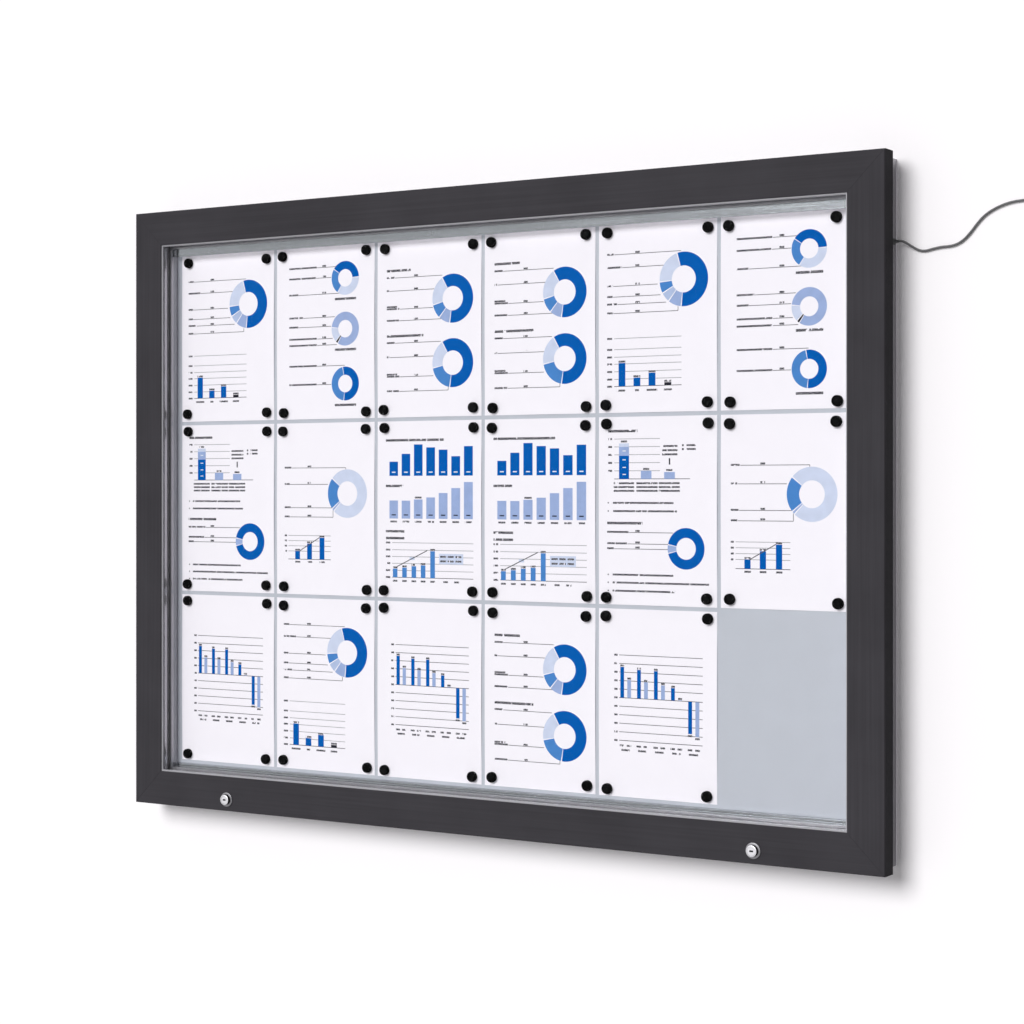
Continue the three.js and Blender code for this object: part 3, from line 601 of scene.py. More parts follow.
def design_b(page):
    page.ring(148, 56, 29, 15, [("dark", 0), ("mid", 145), ("pale", 234)])
    page.ring(148, 143, 29, 15, [("light", -125), ("pale", 172), ("black", 225)])
    page.ring(148, 237, 29, 15, [("dark", -97), ("mid", 100)])
    page.leaders(27, [(35, 87, 133), (53, 85, 118), (81, 47, 147), (121, 57, 126), (137, 47, 118),
                      (158, 87, 121), (169, 87, 130), (205, 87, 147), (237, 87, 118)], 103)
    page.words(126, 171, 91, 92, 178, 179, 273, 274)


def design_c(page):
    page.words(19, 68, 49, 50)
    page.words(19, 94, 159.5, 160.5)
    page.ring(153, 101, 40.7, 20.3, [("dark", -100.3), ("pale", 120.5), ("mid", 193), ("light", 227)])
    page.ring(153, 208, 40.7, 20.3, [("dark", -100.3), ("pale", 120.5), ("mid", 191)])
    page.leaders(19, [(61, 35, 132), (83, 24, 121), (114, 45, 113), (133.5, 44, 136), (171, 35, 129),
                      (195, 24, 131), (228, 45, 114), (252.5, 44, 144)], 79)
    page.words(19, 40, 110.5, 224.5)
    page.stroke(144, 247, 253.2)


def design_d(page):
    page.words(17, 70, 22, 23)
    page.gridlines(28, 110, [35, 47.5, 60, 72.7, 85.4], 17, 24)
    page.rule("black", 28, 163, 98.2)
    page.bars("dark", 18.1, 98.2, [(36.6, 36.6)])
    page.bars("light", 18.1, 61.6, [(36.6, 14.1)])
    page.bars("pale", 18.1, 47.5, [(36.6, 5.5)])
    page.bars("light", 19, 98.2, [(76, 12.8), (117.5, 10.7)])
    for y in (54, 68, 80, 91):
        page.patch("white", 43, 49, y - 0.7, y + 0.7)
    for x, y in ((40, 39), (80, 82.5), (121, 84.5)):
        page.words(x, x + 11, y)
    for left, right in ((27, 64), (68, 106), (108, 145)):
        page.words(left, right, 105, 111, 117)
    page.words(114, 141, 47, 53.5, 60)
    page.patch("grey", 149, 152, 44.5, 47.5)
    page.patch("black", 149, 152, 50.5, 53.5)
    page.words(157, 173, 46, 52)
    page.patch("black", 125.8, 128.2, 66, 76)
    for y, right in ((136, 134), (149, 140), (249.5, 135), (262, 196), (275, 139)):
        page.patch("black", 16, 18, y - 1, y + 1)
        page.words(25, right, y)
    page.words(15, 79, 167.5, 168.5)
    page.leaders(15, [(182, 54, 133), (200, 51, 125), (208, 27, 124)], 70)
    page.ring(156, 207, 32.3, 17, [("dark", -168), ("light", 168)])


def design_e(page):
    bars = [(40, 14), (66, 27), (93, 37.5)]
    page.ring(152.5, 122, 41.5, 21, [("pale", -135), ("mid", 139), ("light", 217)])
    page.leaders(17, [(77, 32, 149), (105.5, 28, 111), (146, 30, 119), (162, 28, 122)], 71)
    page.stroke(149, 77.7, 80.5)
    page.stroke(122, 151, 162.7)
    page.gridlines(25, 117, [195, 204, 213, 222], 17, 22)
    page.rule("black", 25, 117, 236)
    page.bars("dark", 10.5, 235.8, bars)
    page.values(10.5, 235.8, bars)
    page.row(240.5, 11, (40, 66, 93))
    page.trend(49, 222, 93, 198)


def design_f(page):
    starts = [24.4 + 25.15 * i for i in range(7)]
    small = [(31.5, 14.6), (50.7, 16.5), (69.8, 19.3), (88.7, 21), (107.9, 45)]
    page.words(17, 135, 31.5, 32.5)
    page.bars("dark", 17.6, 92, list(zip(starts, (24, 37, 52.6, 47.4, 43.4, 32.3, 48.8))))
    page.words(17, 53, 108.5, 109.5)
    page.bars("light", 17.6, 164, list(zip(starts, (30.5, 30.3, 32.4, 35.8, 43.2, 51.4, 61.4))))
    for x in starts:
        page.patch("white", x + 5, x + 12.6, 85, 86.8)
        page.patch("black", x + 4.5, x + 13.1, 156.8, 158.8)
        page.words(x + 2, x + 15.6, 169)
    page.words(starts[2] + 2, starts[2] + 16, 128.5)
    page.words(17, 55, 185, 186, 196.5, 197.5)
    page.gridlines(30, 194, [204.6, 216.6, 228, 239.5, 251.3], 17, 26)
    page.rule("black", 30, 194, 263)
    page.words(17, 26, 263)
    page.bars("mid", 9.4, 263, small)
    page.values(9.4, 263, small)
    page.trend(40, 245, 102, 217)
    page.patch("pale", 66, 76, 228.5, 233.5)
    page.patch("pale", 125.5, 174, 222, 239.5)
    for y in (227, 234.5):
        page.row(y, 12, (128, 143, 158.5))
    page.row(269, 9.4, (31.5, 50.7, 69.8, 88.7, 107.9, 134, 156))


def design_g(page):
    dark = [(39 + 30.2 * i, height) for i, height in enumerate((48.4, 44.8, 44.3, 19.3))]
    light = [(51.6 + 30.2 * i, height) for i, height in enumerate((28.3, 26, 22.4, 0.8))]
    rows = [73 + 13.5 * i for i in range(10) if i != 5]
    page.gridlines(37, 185, rows, 28, 34, "grey")
    page.rule("black", 37, 185, 140.5, 208)
    page.words(28, 34, 140.5, 208)
    page.bars("dark", 6.8, 140.2, dark)
    page.bars("light", 6.8, 140.2, light)
    page.patch("dark", 159.8, 166.6, 140.8, 190.8)
    page.patch("light", 172.4, 179.2, 140.8, 194.8)
    page.values(6.8, 140.2, dark + light)
    page.words(159, 167, 194, 216)
    page.words(172, 180, 198, 216)
    page.row(216, 8, [x - 1 for x, height in dark + light])
    page.row(223, 15, [x + 2 for x, height in dark])
    page.words(161, 177, 223)


DESIGNS = {"A": design_a, "B": design_b, "C": design_c, "D": design_d, "E": design_e, "F": design_f,
           "G": design_g}


# Sizes and colours that a user would change


def length(name, description, default):
    return FloatProperty(name=name, description=description, default=default, min=0.0, precision=5,
                         unit="LENGTH", subtype="DISTANCE")


def colour(name, description, default):
    return FloatVectorProperty(name=name, description=description, default=default, size=3, min=0.0,
                               max=1.0, subtype="COLOR")


class NoticeBoardSizes(PropertyGroup):
    sheet_width: length("Sheet width", "Width of one hung sheet", 0.210)
    sheet_height: length("Sheet height", "Height of one hung sheet", 0.297)
    paper_thickness: length("Paper thickness", "Thickness of the paper", 0.00025)
    paper_lift: length("Paper lift", "How far the paper's free edges stand off the board", 0.0008)
    magnet_diameter: length("Magnet diameter", "Width of a round magnet", 0.0172)
    magnet_height: length("Magnet height", "How far a magnet stands off the board", 0.007)
    lead_diameter: length("Lead diameter", "Thickness of the lead", 0.0035)
    soft_edge: length("Edge rounding", "Rounding of the metal's arrises", 0.0003)
    screw_radius: length("Screw radius", "Radius of a small screw's head", 0.003)
    rivet_count: IntProperty(name="Hinge rivets", description="Rivets along each hinge leaf", default=10,
                             min=2, max=40)


class NoticeBoardColours(PropertyGroup):
    frame: colour("Frame", "Coat of the door frame", (0.047, 0.0445, 0.0505))
    metal: colour("Case", "Anodised metal of the case", (0.43, 0.42, 0.45))
    strips: colour("Strips", "Anodised metal of the light bar and cover strip", (0.27, 0.28, 0.3))
    bead: colour("Bead", "Bright bead round the glass", (0.36, 0.355, 0.38))
    board: colour("Board", "Enamel of the magnetic board", (0.52, 0.535, 0.6))
    paper: colour("Paper", "Paper of the sheets", (0.945, 0.9, 0.97))
    magnet: colour("Magnets", "Caps of the magnets", (0.0018, 0.0017, 0.002))
    lead: colour("Lead", "Sheath of the lead", (0.1, 0.1, 0.105))
    dark_ink: colour("Dark blue", "Darkest blue of the charts", (0.0, 0.102, 0.43))
    mid_ink: colour("Middle blue", "Middle blue of the charts", (0.07, 0.23, 0.58))
    light_ink: colour("Light blue", "Light blue of the charts", (0.33, 0.42, 0.69))
    soft_ink: colour("Soft blue", "Softer blue of the charts", (0.45, 0.53, 0.76))
    pale_ink: colour("Pale blue", "Palest blue of the charts", (0.61, 0.66, 0.84))
    black_ink: colour("Black ink", "Print and chart bases", (0.02, 0.02, 0.03))
    grey_ink: colour("Grey ink", "Thin rules", (0.09, 0.09, 0.1))
    faint_ink: colour("Faint ink", "Gridlines behind the bars", (0.34, 0.34, 0.36))
    white_ink: colour("White ink", "Marks left white on the bars", (0.85, 0.86, 0.9))
    wall: colour("Wall", "Wall behind the board", (1.0, 0.975, 1.0))
    floor: colour("Floor", "Floor under the board", (0.93, 0.93, 0.935))


# Operators, one for each piece or group of like pieces


class NOTICE_OT_camera(Operator):
    """Set the camera at the viewing angle"""

    bl_idname = "notice.camera"
    bl_label = "Camera"

    def execute(self, context):
        bpy.ops.object.camera_add(
            location=(1.97167, -3.05814, 0.03552), rotation=(math.pi / 2, 0, math.radians(32.271))
        )
        camera = context.object
        camera.name = "Camera"
        camera.data.sensor_width = 36
        camera.data.lens = 77.34
        camera.data.shift_y = -0.02315
        context.scene.camera = camera
        return {"FINISHED"}


class NOTICE_OT_finishes(Operator):
    """Mix every finish of the board"""

    bl_idname = "notice.finishes"
    bl_label = "Finishes"

    def execute(self, context):
        make_finishes(context.scene.notice_colours)
        return {"FINISHED"}


def coil_points():
    """Middle line of the coil: it spirals in and out again and climbs a layer at each reversal."""
    start = Vector(LEAD_ROUTE[-1]) + Vector((LEAD_GAP, 0, 0))
    centre_x = start.x + 0.0035
    per_layer = (COIL_TURNS - (COIL_LAYERS - 1) * CLIMB_TURNS) / COIL_LAYERS
    outer = COIL_RADIUS + per_layer * COIL_PITCH / 2
    inner = outer - per_layer * COIL_PITCH
    centre_z = start.z - outer
    points = [start]
    for i in range(round(COIL_TURNS * COIL_STEPS) + 1):
        turn = i / COIL_STEPS
        layer = min(int(turn / (per_layer + CLIMB_TURNS)), COIL_LAYERS - 1)
        within = turn - layer * (per_layer + CLIMB_TURNS)
        climbing = max(within - per_layer, 0.0)
        wound = min(within, per_layer) + min(climbing, CLIMB_TURNS - climbing)
        radius = outer - wound * COIL_PITCH if layer % 2 == 0 else inner + wound * COIL_PITCH
        angle = math.pi / 2 - 2 * math.pi * turn
        points.append(Vector((
            centre_x + radius * math.cos(angle),
            start.y - (layer + climbing / CLIMB_TURNS) * COIL_PITCH,
            centre_z + radius * math.sin(angle),
        )))
    last = points[-1]
    heading = last - points[-2]
    heading.y = 0
    heading.normalize()
    step = TAIL_LENGTH / TAIL_STEPS
    for i in range(1, TAIL_STEPS + 1):
        bent = (i * step - TAIL_STRAIGHT) / (TAIL_LENGTH - step - TAIL_STRAIGHT)
        bent = min(max(bent, 0.0), 1.0)
        point = last + heading * i * step
        point.y = last.y + bent * bent * (3 - 2 * bent) * (PLUG_HEIGHT - last.y)
        points.append(point)
    return points, Vector((centre_x, 0, centre_z)), inner, outer


def make_plug(end, heading):
    """A moulded barrel plug with a ribbed boot."""
    boot = [(0, 0), (2.5, 0), (2.7, 0.8), (2.4, 1.4), (3.1, 2.2), (2.8, 2.9), (3.6, 3.8), (3.3, 4.6),
            (4.2, 5.6), (3.9, 6.4), (4.7, 7.6), (4.95, 9), (4.95, 12), (4.7, 12.5), (4.7, 26.5),
            (4.95, 27), (4.95, 30.2), (4.5, 31), (0, 31)]
    barrel = [(1.2, 30.5), (2.75, 30.5), (2.75, 40), (2.5, 40.4), (1.5, 40.4), (1.2, 40.1), (1.2, 30.5)]
    start = end + heading * LEAD_GAP
    sleeve = turned(boot, heading, start, 40)
    pin = turned(barrel, heading, start, 32)
    dress(sleeve.data, "Black rubber")
    dress(pin.data, "Polished steel")
    return keep(join(sleeve, pin), "plug", "case", "rubber", None, "cord_plug")


def make_tie(centre, inner, outer):
    """A thin strap round the coil's foot."""
    front = -0.00045 - COIL_PITCH * (COIL_LAYERS - 1) - 0.0042
    strap = open_box((centre.x - TIE_WIDTH / 2, front, centre.z - outer - TIE_THICKNESS),
                     (centre.x + TIE_WIDTH / 2, -0.0001, centre.z - inner + TIE_THICKNESS))
    choose(strap, "faces", lambda face: abs(face.normal.x) > 0.9)
    bpy.ops.mesh.delete(type="FACE")
    choose(strap, "edges", lambda edge: abs(edge.verts[0].co.x - edge.verts[1].co.x) > TIE_WIDTH / 2)
    bpy.ops.mesh.bevel(offset=0.0035, segments=6, affect="EDGES")
    bpy.ops.object.mode_set(mode="OBJECT")
    change(strap, "SOLIDIFY", thickness=TIE_THICKNESS, offset=-1)
    return keep(settle(strap), "coil_tie", "case", "rubber", "Black rubber")


def make_grommet():
    """A rubber bush with a ribbed nose."""
    low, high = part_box("cable_grommet")
    middle = Vector((low.x, (low.y + high.y) / 2, (low.z + high.z) / 2))
    outline = [(0, 0), (4.5, 0), (4.8, 0.3), (4.8, 0.9), (3.4, 0.9), (3.4, 2.9), (4.8, 2.9), (4.8, 3.5),
               (4.5, 3.8), (3.1, 3.8), (2.8, 4.4), (2.9, 5.3), (2.5, 5.6), (2.7, 6.5), (2.4, 6.8),
               (2.55, 7.7), (2.3, 8.0), (2.4, 8.9), (2.2, 9.8), (0, 10.0)]
    bush = turned(outline, (1, 0, 0), middle, 40)
    keep(bush, "grommet", "case", "rubber", "Lead sheath", "cable_grommet")


class NOTICE_OT_lead(Operator):
    """Lay the lead along the wall, coil its rest, and put on its grommet, tie and plug"""

    bl_idname = "notice.lead"
    bl_label = "Lead"

    def execute(self, context):
        radius = context.scene.notice_sizes.lead_diameter / 2
        loops, centre, inner, outer = coil_points()
        points = [Vector(p) for p in LEAD_ROUTE] + loops
        line = bpy.data.curves.new("lead", "CURVE")
        line.dimensions = "3D"
        spline = line.splines.new("BEZIER")
        spline.bezier_points.add(len(points) - 1)
        for knot, point in zip(spline.bezier_points, points):
            knot.co = point
            knot.handle_left_type = knot.handle_right_type = "AUTO"
        spline.resolution_u = line.resolution_u = 4
        line.bevel_depth = radius
        line.bevel_resolution = 4
        line.use_fill_caps = True
        lead = bpy.data.objects.new("lead", line)
        context.scene.collection.objects.link(lead)
        keep(lead, "lead", "case", "vinyl", "Lead sheath", "cord_run", "cord_coil")
        plug = make_plug(points[-1], (points[-1] - points[-2]).normalized())
        tie = make_tie(centre, inner - radius, outer + radius)
        make_grommet()
        return {"FINISHED"}


def magnet_places(node):
    """Middles of the four magnets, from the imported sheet's front faces."""
    low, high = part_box(node)
    middle = (low + high) / 2
    front = [v.co for v in frame["nodes"][node].data.vertices if v.co.y < low.y + 0.0001]
    places = []
    for side_x in (-1, 1):
        for side_z in (-1, 1):
            group = [p for p in front if (p.x - middle.x) * side_x > 0 and (p.z - middle.z) * side_z > 0]
            xs, zs = [p.x for p in group], [p.z for p in group]
            places.append(((min(xs) + max(xs)) / 2, (min(zs) + max(zs)) / 2))
    return places


def make_magnet(sizes):
    """A round cap with a rounded rim and a shallow dish in its face."""
    radius, height = sizes.magnet_diameter / 2 / MM, sizes.magnet_height / MM
    shares = [(0, 0.06), (0.97, 0.06), (1, 0.1), (1, 0.72), (0.985, 0.86), (0.94, 0.96), (0.87, 1),
              (0.78, 1), (0.73, 0.95), (0.7, 0.9), (0, 0.9)]
    cap = turned([(r * radius, h * height) for r, h in shares], (0, -1, 0), (0, 0, 0), 32)
    dress(cap.data, "Magnet cap")
    return cap


def make_sheet(letter, sizes):
    """A sheet of paper whose free edges stand off a little, with its print."""
    wide, tall = sizes.sheet_width, sizes.sheet_height
    back = -0.0001
    pick()
    bpy.ops.mesh.primitive_grid_add(x_subdivisions=20, y_subdivisions=28, size=1,
                                    location=(wide / 2, back, -tall / 2), rotation=UPRIGHT)
    leaf = bpy.context.object
    bpy.ops.object.mode_set(mode="EDIT")
    bpy.ops.transform.resize(value=(wide, 1, tall))
    bpy.ops.object.mode_set(mode="OBJECT")
    settle(leaf)
    held = 0.03

    def arch(place, size):
        """Rises from nothing at a magnet to one midway to the next."""
        if not held < place < size - held:
            return 0.0
        return math.sin(math.pi * (place - held) / (size - 2 * held))

    for vertex in leaf.data.vertices:
        x, z = vertex.co.x, -vertex.co.z
        edge_x = x < 1e-4 or x > wide - 1e-4
        edge_z = z < 1e-4 or z > tall - 1e-4
        vertex.co.y -= sizes.paper_lift * (arch(z, tall) * edge_x + 0.7 * arch(x, wide) * edge_z)
    change(leaf, "SOLIDIFY", thickness=sizes.paper_thickness, offset=1)
    settle(leaf)
    dress(leaf.data, "Paper", *("Ink " + ink for ink in INKS), "Small print")
    pick(leaf)
    bpy.ops.object.mode_set(mode="EDIT")
    DESIGNS[letter](Page(leaf, back - sizes.paper_thickness - BAR_LIFT))
    bpy.ops.object.mode_set(mode="OBJECT")
    leaf.data.name = "design_" + letter
    return leaf


class NOTICE_OT_sheets(Operator):
    """Print the seven designs, then hang a sheet with four magnets at each place"""

    bl_idname = "notice.sheets"
    bl_label = "Sheets and magnets"

    def execute(self, context):
        magnet = make_magnet(context.scene.notice_sizes)
        printed = {letter: make_sheet(letter, context.scene.notice_sizes) for letter in DESIGNS}
        for row, letters in enumerate(PLACES):
            for column, letter in enumerate(letters):
                node = f"sheet_row{row + 1}_column{column + 1}"
                low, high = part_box(node)
                leaf = copy_at(printed[letter], (low.x, BOARD_FRONT, high.z))
                magnets = [copy_at(magnet, (x, BOARD_FRONT, z)) for x, z in magnet_places(node)]
                keep(join(leaf, *magnets), "hung_" + node, "case", "paper", None, node)
        for spare in (magnet, *printed.values()):
            bpy.data.objects.remove(spare)
        return {"FINISHED"}


class NOTICE_OT_frame(Operator):
    """Round the arrises of the door frame, its bead and its retainer, and coat them"""

    bl_idname = "notice.frame"
    bl_label = "Door frame and glass"

    def execute(self, context):
        soft = context.scene.notice_sizes.soft_edge
        for side in SIDES:
            soften("door_" + side, soft, "frame_" + side, "door", "anthracite", "Anthracite coat")
        soften("glazing_bead", soft, "bead", "door", "silver", "Bright bead")
        soften("pane_retainer", soft, "retainer", "door", "silver", "Anodised metal")
        dress_node("door_pane", "Clear glass")
        dress_node("door_seal", "Grey rubber")
        for corner in ("bottom_left", "bottom_right", "top_right", "top_left"):
            dress_node("door_corner_key_" + corner, "Zinc plate")
        return {"FINISHED"}


class NOTICE_OT_case(Operator):
    """Round the arrises of the case, its light bar and cover strip, and finish its sheets"""

    bl_idname = "notice.case"
    bl_label = "Case, board and light bar"

    def execute(self, context):
        soft = context.scene.notice_sizes.soft_edge
        for side in SIDES:
            soften("case_" + side, soft / 2, "channel_" + side, "case", "silver", "Anodised metal")
        soften("light_bar_housing", soft, "light_bar", "case", "silver", "Smooth metal")
        soften("bottom_cover_strip", soft, "cover_strip", "case", "silver", "Smooth metal")
        dress_node("light_bar_diffuser", "Opal sheet")
        dress_node("led_strip", "Lamp strip")
        dress_node("magnetic_board", "Board enamel")
        dress_node("back_sheet", "Zinc plate")
        return {"FINISHED"}


class NOTICE_OT_hinge(Operator):
    """Finish the continuous hinge and rivet its leaves"""

    bl_idname = "notice.hinge"
    bl_label = "Hinge"

    def execute(self, context):
        sizes = context.scene.notice_sizes
        count = sizes.rivet_count
        pin_low, pin_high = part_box("hinge_pin")
        axis_y = (pin_low.y + pin_high.y) / 2
        profile = [(0, 0), (2.4, 0), (2.4, 0.3), (1.9, 0.9), (1, 1.2), (0, 1.3)]
        for side, upwards in (("door", -1), ("case", 1)):
            node = f"hinge_{side}_leaf"
            leaf = softened(node, sizes.soft_edge / 2)
            low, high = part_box(node)
            if side == "door":
                place = (0, (low.y + axis_y) / 2, DOOR[1].z - 0.0032)
            else:
                place = (0, (high.y + axis_y + 0.003) / 2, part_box("case_top_rail")[1].z + 0.0012)
            head = turned(profile, (0, 0, upwards), place, 20)
            span = high.x - low.x - 0.04
            rivets = [copy_at(head, (span * (i / (count - 1) - 0.5), 0, 0)) for i in range(count)]
            bpy.data.objects.remove(head)
            keep(join(leaf, *rivets), "hinge_" + side, side, "zinc", "Zinc plate", node)
        dress_node("hinge_pin", "Polished steel")
        return {"FINISHED"}


def make_lock_body(lock, place, back, front):
    """Flange, standing barrel, threaded sleeve and hexagonal nut."""
    outline = [(7.2, front + 0.1), (7.3, front), (8.2, front), (8.62, front + 0.2), (8.8, front + 0.6),
               (8.8, -2.2), (9.1, -1.85), (11.7, -1.8), (12.2, -1.6), (12.5, -1.1), (12.5, 0), (9.4, 0)]
    thread = [(9.4 - 0.35 * (i % 2), 1 + 0.5 * i) for i in range(int((back - 2) / 0.5))]
    inside = [(9.3, back), (5.35, back), (5.35, 5.9), (7.2, 5.9), (7.2, front + 0.1)]
    hexagon = [(9.0, 20.02), (11.2, 20.02), (11.5, 20.3), (11.5, 21.5), (11.2, 21.8), (9.0, 21.8),
               (9.0, 20.02)]
    sleeve = turned(outline + thread + inside, (0, 1, 0), place, 64, 40)
    nut = turned(hexagon, (0, 1, 0), place, 6)
    barrel = keep(join(sleeve, nut), lock + "_barrel", "door", "chrome", "Satin chrome", lock + "_body")
    paint(barrel, "Dull chrome", place, -1.95, 0, 9)
    # The barrel's side, between the flange and the face, is painted near-black: a painted reflection of the
    # dark door face in the chrome.
    paint(barrel, "Burnished steel", place, front + 0.7, -1.9, 8.4)


def make_lock_rotor(lock, place):
    """Keyed plug with its slot and the spindle behind."""
    low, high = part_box(lock + "_rotor")
    front, back = (low.y - place.y) / MM, (high.y - place.y) / MM
    outline = [(0, front), (6.85, front), (7.0, front + 0.12), (7.0, 5.6), (4.95, 5.6), (4.95, back),
               (0, back)]
    plug = turned(outline, (0, 1, 0), place, 64, 40)
    slot = block(place + Vector((-3.2, front - 1, -1.3)) * MM, place + Vector((3.2, front + 3, 1.3)) * MM,
                 0.0003)
    plug = keep(cut(plug, slot), lock + "_plug", lock, "chrome", "Satin chrome", lock + "_rotor")
    # The keyway slot's inside is painted near-black: painted shade in the recess.
    paint(plug, "Burnished steel", place, front + 0.05, front + 3.1, 0, 3.6)


class NOTICE_OT_locks(Operator):
    """Turn the two cam locks with their standing barrels, rotors and nuts"""

    bl_idname = "notice.locks"
    bl_label = "Locks"

    def execute(self, context):
        for lock in ("lock_left", "lock_right"):
            low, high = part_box(lock + "_body")
            place = Vector(((low.x + high.x) / 2, DOOR[0].y, (low.z + high.z) / 2))
            make_lock_body(lock, place, (high.y - place.y) / MM, (low.y - place.y) / MM)
            make_lock_rotor(lock, place)
            soften(lock + "_cam", 0.0003, lock.replace("lock", "cam"), lock, "zinc", "Zinc plate")
        return {"FINISHED"}


def make_screw(radius, facing):
    """A pan-head screw with a cross recess, facing the front or the back."""
    outline = [(0, 0), (radius, 0), (radius, 0.5), (radius * 0.92, 1.1), (radius * 0.7, 1.6),
               (radius * 0.35, 1.9), (0, 1.95)]
    head = turned(outline, (0, facing, 0), (0, 0, 0), 28)
    near, far = sorted((facing * 0.0008, facing * 0.003))
    arms = [block((-a, near, -b), (a, far, b)) for a, b in ((0.0017, 0.0003), (0.0003, 0.0017))]
    return cut(head, *arms)


def make_eye(centre):
    """The eye at a strut's end, a ring round its stud."""
    ring = [(3.9, -2.7), (4.2, -3), (6.6, -3), (7, -2.6), (7, 2.6), (6.6, 3), (4.2, 3), (3.9, 2.7),
            (3.9, -2.7)]
    return turned(ring, (1, 0, 0), centre, 40)


def make_rod(side, foot, reach):
    """Polished rod with its eye and piston. A reach is in millimetres from the foot."""
    outline = [(0, 5.8), (3.4, 5.8), (3.4, 12), (5.2, 12.2), (5.2, 16.5), (4, 16.8), (4, reach - 8),
               (5.4, reach - 8), (5.4, reach - 5), (4.8, reach - 4.8), (4.8, reach - 3.6),
               (5.4, reach - 3.4), (5.4, reach), (0, reach)]
    stem = turned(outline, (0, 0, 1), foot, 40)
    keep(join(stem, make_eye(foot)), f"strut_{side}_polished_rod", f"strut_{side}_rod", "chrome",
         "Polished steel", f"gas_strut_{side}_rod")


def make_cylinder(side, foot, reach):
    """Painted tube, rolled in round its gland, with a rounded head and eye."""
    start, end = 20, reach - 18
    outline = [(6, end - 8), (6, start + 4), (4.4, start + 4), (4.4, start), (6, start), (6.8, start + 0.3),
               (7.3, start + 0.9), (7.5, start + 1.8), (7.5, start + 6), (7.1, start + 6.8),
               (7.1, start + 7.8), (7.5, start + 8.6), (7.5, end - 4), (7.2, end - 2.2), (6.2, end - 0.8),
               (4.8, end), (3, end), (3, end + 4), (3.6, end + 4.5), (3.6, reach - 5.8), (0, reach - 5.8)]
    tube = turned(outline, (0, 0, 1), foot)
    eye = make_eye(foot + Vector((0, 0, reach * MM)))
    keep(join(tube, eye), f"strut_{side}_tube", f"strut_{side}_cylinder", "paint", "Black paint",
         f"gas_strut_{side}_cylinder")


def make_bracket(node, body, screw):
    """A bracket with two screws through its plate."""
    piece = softened(node, 0.0004)
    low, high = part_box(node)
    inset = 0.0045
    x = low.x + inset if low.x > 0 else high.x - inset
    y = high.y - 0.002 if body == "case" else low.y + 0.002
    screws = [copy_at(screw, (x, y, z)) for z in (low.z + inset, high.z - inset)]
    keep(join(piece, *screws), "fixed_" + node, body, "zinc", "Zinc plate", node)


class NOTICE_OT_struts(Operator):
    """Turn the gas struts and fix their brackets with screws"""

    bl_idname = "notice.struts"
    bl_label = "Gas struts"

    def execute(self, context):
        radius = context.scene.notice_sizes.screw_radius / MM
        screws = {"case": make_screw(radius, -1), "door": make_screw(radius, 1)}
        for side in ("left", "right"):
            rod_low, rod_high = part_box(f"gas_strut_{side}_rod")
            tube_low, tube_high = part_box(f"gas_strut_{side}_cylinder")
            foot = Vector(((tube_low.x + tube_high.x) / 2, (rod_low.y + rod_high.y) / 2,
                           rod_low.z + STRUT_EYE))
            make_rod(side, foot, (rod_high.z - foot.z) / MM)
            make_cylinder(side, foot, (tube_high.z - STRUT_EYE - foot.z) / MM)
            for body, screw in screws.items():
                make_bracket(f"gas_strut_{side}_{body}_bracket", body, screw)
        for screw in screws.values():
            bpy.data.objects.remove(screw)
        return {"FINISHED"}


def make_plane(name, place, turn, size, tone, glow):
    """A plain sheet that the camera and gloss see from its front, and that lets lamps through.
    Gloss closer to it than its small gap sees past it, so the back isn't mirrored in its own shadow."""
    pick()
    bpy.ops.mesh.primitive_plane_add(size=size, location=place, rotation=turn)
    plane = bpy.context.object
    plane.name = name
    finish = Finish(name + " plaster", tuple(tone), 0.9, Specular_IOR_Level=0.0, Emission_Color=WHITE,
                    Emission_Strength=glow)
    finish.set("Base Color", finish.vary_colour(finish.noise(3.0, 2.0), 0.004))
    ray = finish.add("LightPath").outputs
    seen = finish.math("MAXIMUM", ray["Is Camera Ray"], ray["Is Glossy Ray"])
    seen = finish.math("MAXIMUM", seen, ray["Is Transmission Ray"])
    seen = finish.math("MULTIPLY", seen, finish.math("GREATER_THAN", ray["Ray Length"], 0.003))
    behind = finish.add("NewGeometry").outputs["Backfacing"]
    front = finish.math("MULTIPLY", seen, finish.math("SUBTRACT", 1.0, behind))
    finish.let_through(finish.math("SUBTRACT", 1.0, front))
    dress(plane.data, finish.material.name)


def make_surroundings(world):
    """Light from all round, fuller from the left, shown white to the camera and through glass."""
    world.use_nodes = True
    air = Shading(world.node_tree)
    ray = air.add("LightPath").outputs
    x = air.add("SeparateXYZ", air.add("TexCoord").outputs["Generated"]).outputs["X"]
    unseen = air.spread(x, -1.0, 1.0, 0.65, 0.13)
    gloss = air.spread(x, -0.6, -0.35, 1.0, 0.6)
    level = air.spread(ray["Is Glossy Ray"], 0.0, 1.0, unseen, gloss)
    for kind in ("Is Camera Ray", "Is Transmission Ray"):
        level = air.spread(ray[kind], 0.0, 1.0, level, 1.0)
    background = air.nodes["Background"]
    air.put(background.inputs["Color"], WHITE)
    air.put(background.inputs["Strength"], level)


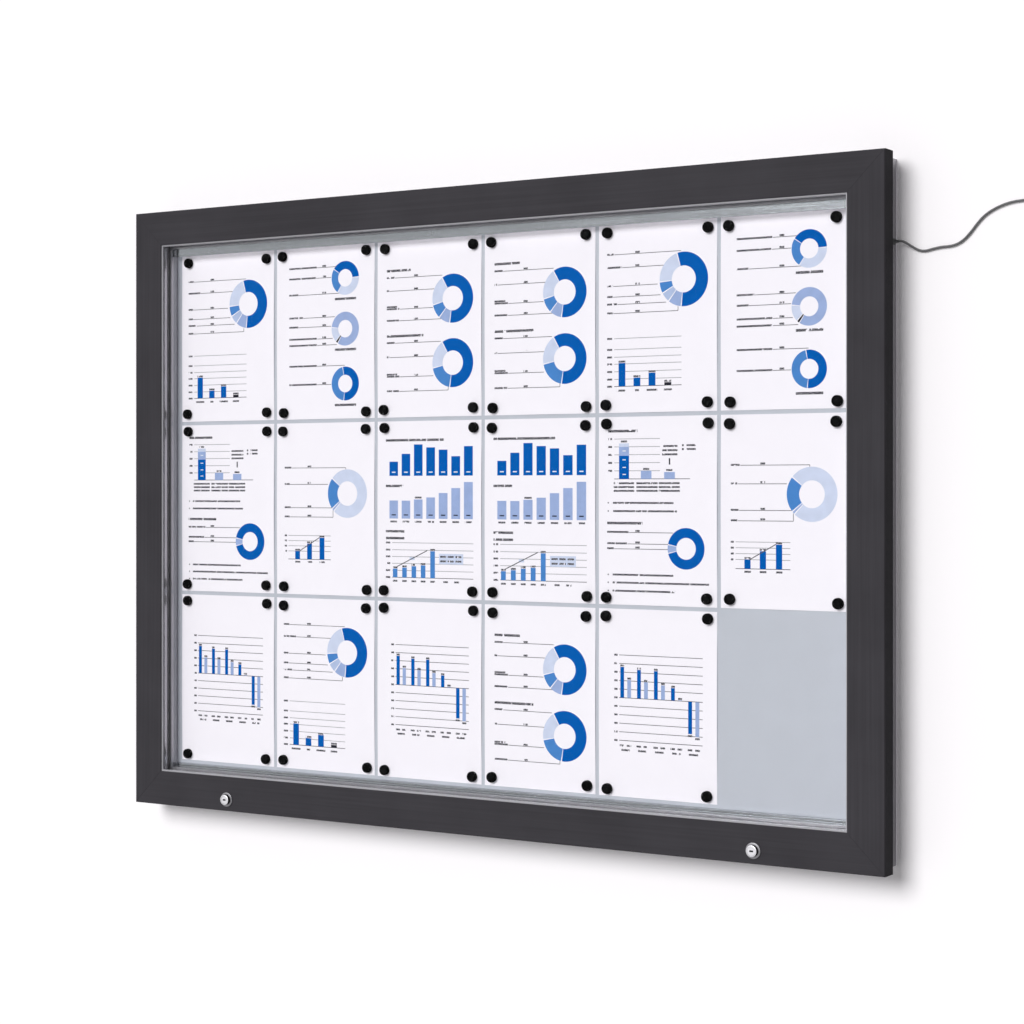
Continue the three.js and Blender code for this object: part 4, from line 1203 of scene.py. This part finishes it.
class NOTICE_OT_stage(Operator):
    """Set up the wall, the floor, the lamp and the surrounding light"""

    bl_idname = "notice.stage"
    bl_label = "Stage"

    def execute(self, context):
        colours = context.scene.notice_colours
        make_plane("wall", place=(0, 0.0006, 0.75), turn=UPRIGHT, size=4.5, tone=colours.wall, glow=0.0)
        make_plane("floor", place=(0, 0, -1.5), turn=(0, 0, 0), size=14.0, tone=colours.floor, glow=0.25)
        bpy.ops.object.light_add(type="SUN", location=(-1.6, -2.5, 2.4))
        lamp = context.object
        lamp.name = "Soft lamp"
        lamp.rotation_euler = Vector((0.22, 1.0, -0.46)).to_track_quat("-Z", "Y").to_euler()
        lamp.data.energy = 2.34
        lamp.data.angle = math.radians(32)
        context.scene.world = bpy.data.worlds.new("Surroundings")
        make_surroundings(context.scene.world)
        context.scene.view_settings.view_transform = "Standard"
        return {"FINISHED"}


class NOTICE_PT_panel(Panel):
    """Shows the board's sizes and colours, and a button for each step"""

    bl_idname = "NOTICE_PT_panel"
    bl_label = "Notice Board"
    bl_space_type = "VIEW_3D"
    bl_region_type = "UI"
    bl_category = "Notice Board"

    def draw(self, context):
        layout = self.layout
        for group in (context.scene.notice_sizes, context.scene.notice_colours):
            box = layout.box()
            for name in group.__annotations__:
                box.prop(group, name)
        for step in STEPS:
            layout.operator(step.bl_idname)


STEPS = (
    NOTICE_OT_camera, NOTICE_OT_finishes, NOTICE_OT_lead, NOTICE_OT_stage, NOTICE_OT_frame, NOTICE_OT_case,
    NOTICE_OT_sheets, NOTICE_OT_locks, NOTICE_OT_struts, NOTICE_OT_hinge,
)
CLASSES = (NoticeBoardSizes, NoticeBoardColours, *STEPS, NOTICE_PT_panel)


def register():
    for cls in CLASSES:
        bpy.utils.register_class(cls)
    bpy.types.Scene.notice_sizes = PointerProperty(type=NoticeBoardSizes)
    bpy.types.Scene.notice_colours = PointerProperty(type=NoticeBoardColours)


def unregister():
    del bpy.types.Scene.notice_colours
    del bpy.types.Scene.notice_sizes
    for cls in reversed(CLASSES):
        bpy.utils.unregister_class(cls)


def main():
    register()
    bpy.ops.notice.camera()
    bpy.ops.notice.finishes()
    bpy.ops.notice.lead()
    bpy.ops.notice.stage()
    bpy.ops.notice.frame()
    bpy.ops.notice.case()
    bpy.ops.notice.sheets()
    bpy.ops.notice.locks()
    bpy.ops.notice.struts()
    bpy.ops.notice.hinge()


if __name__ == "__main__":
    main()
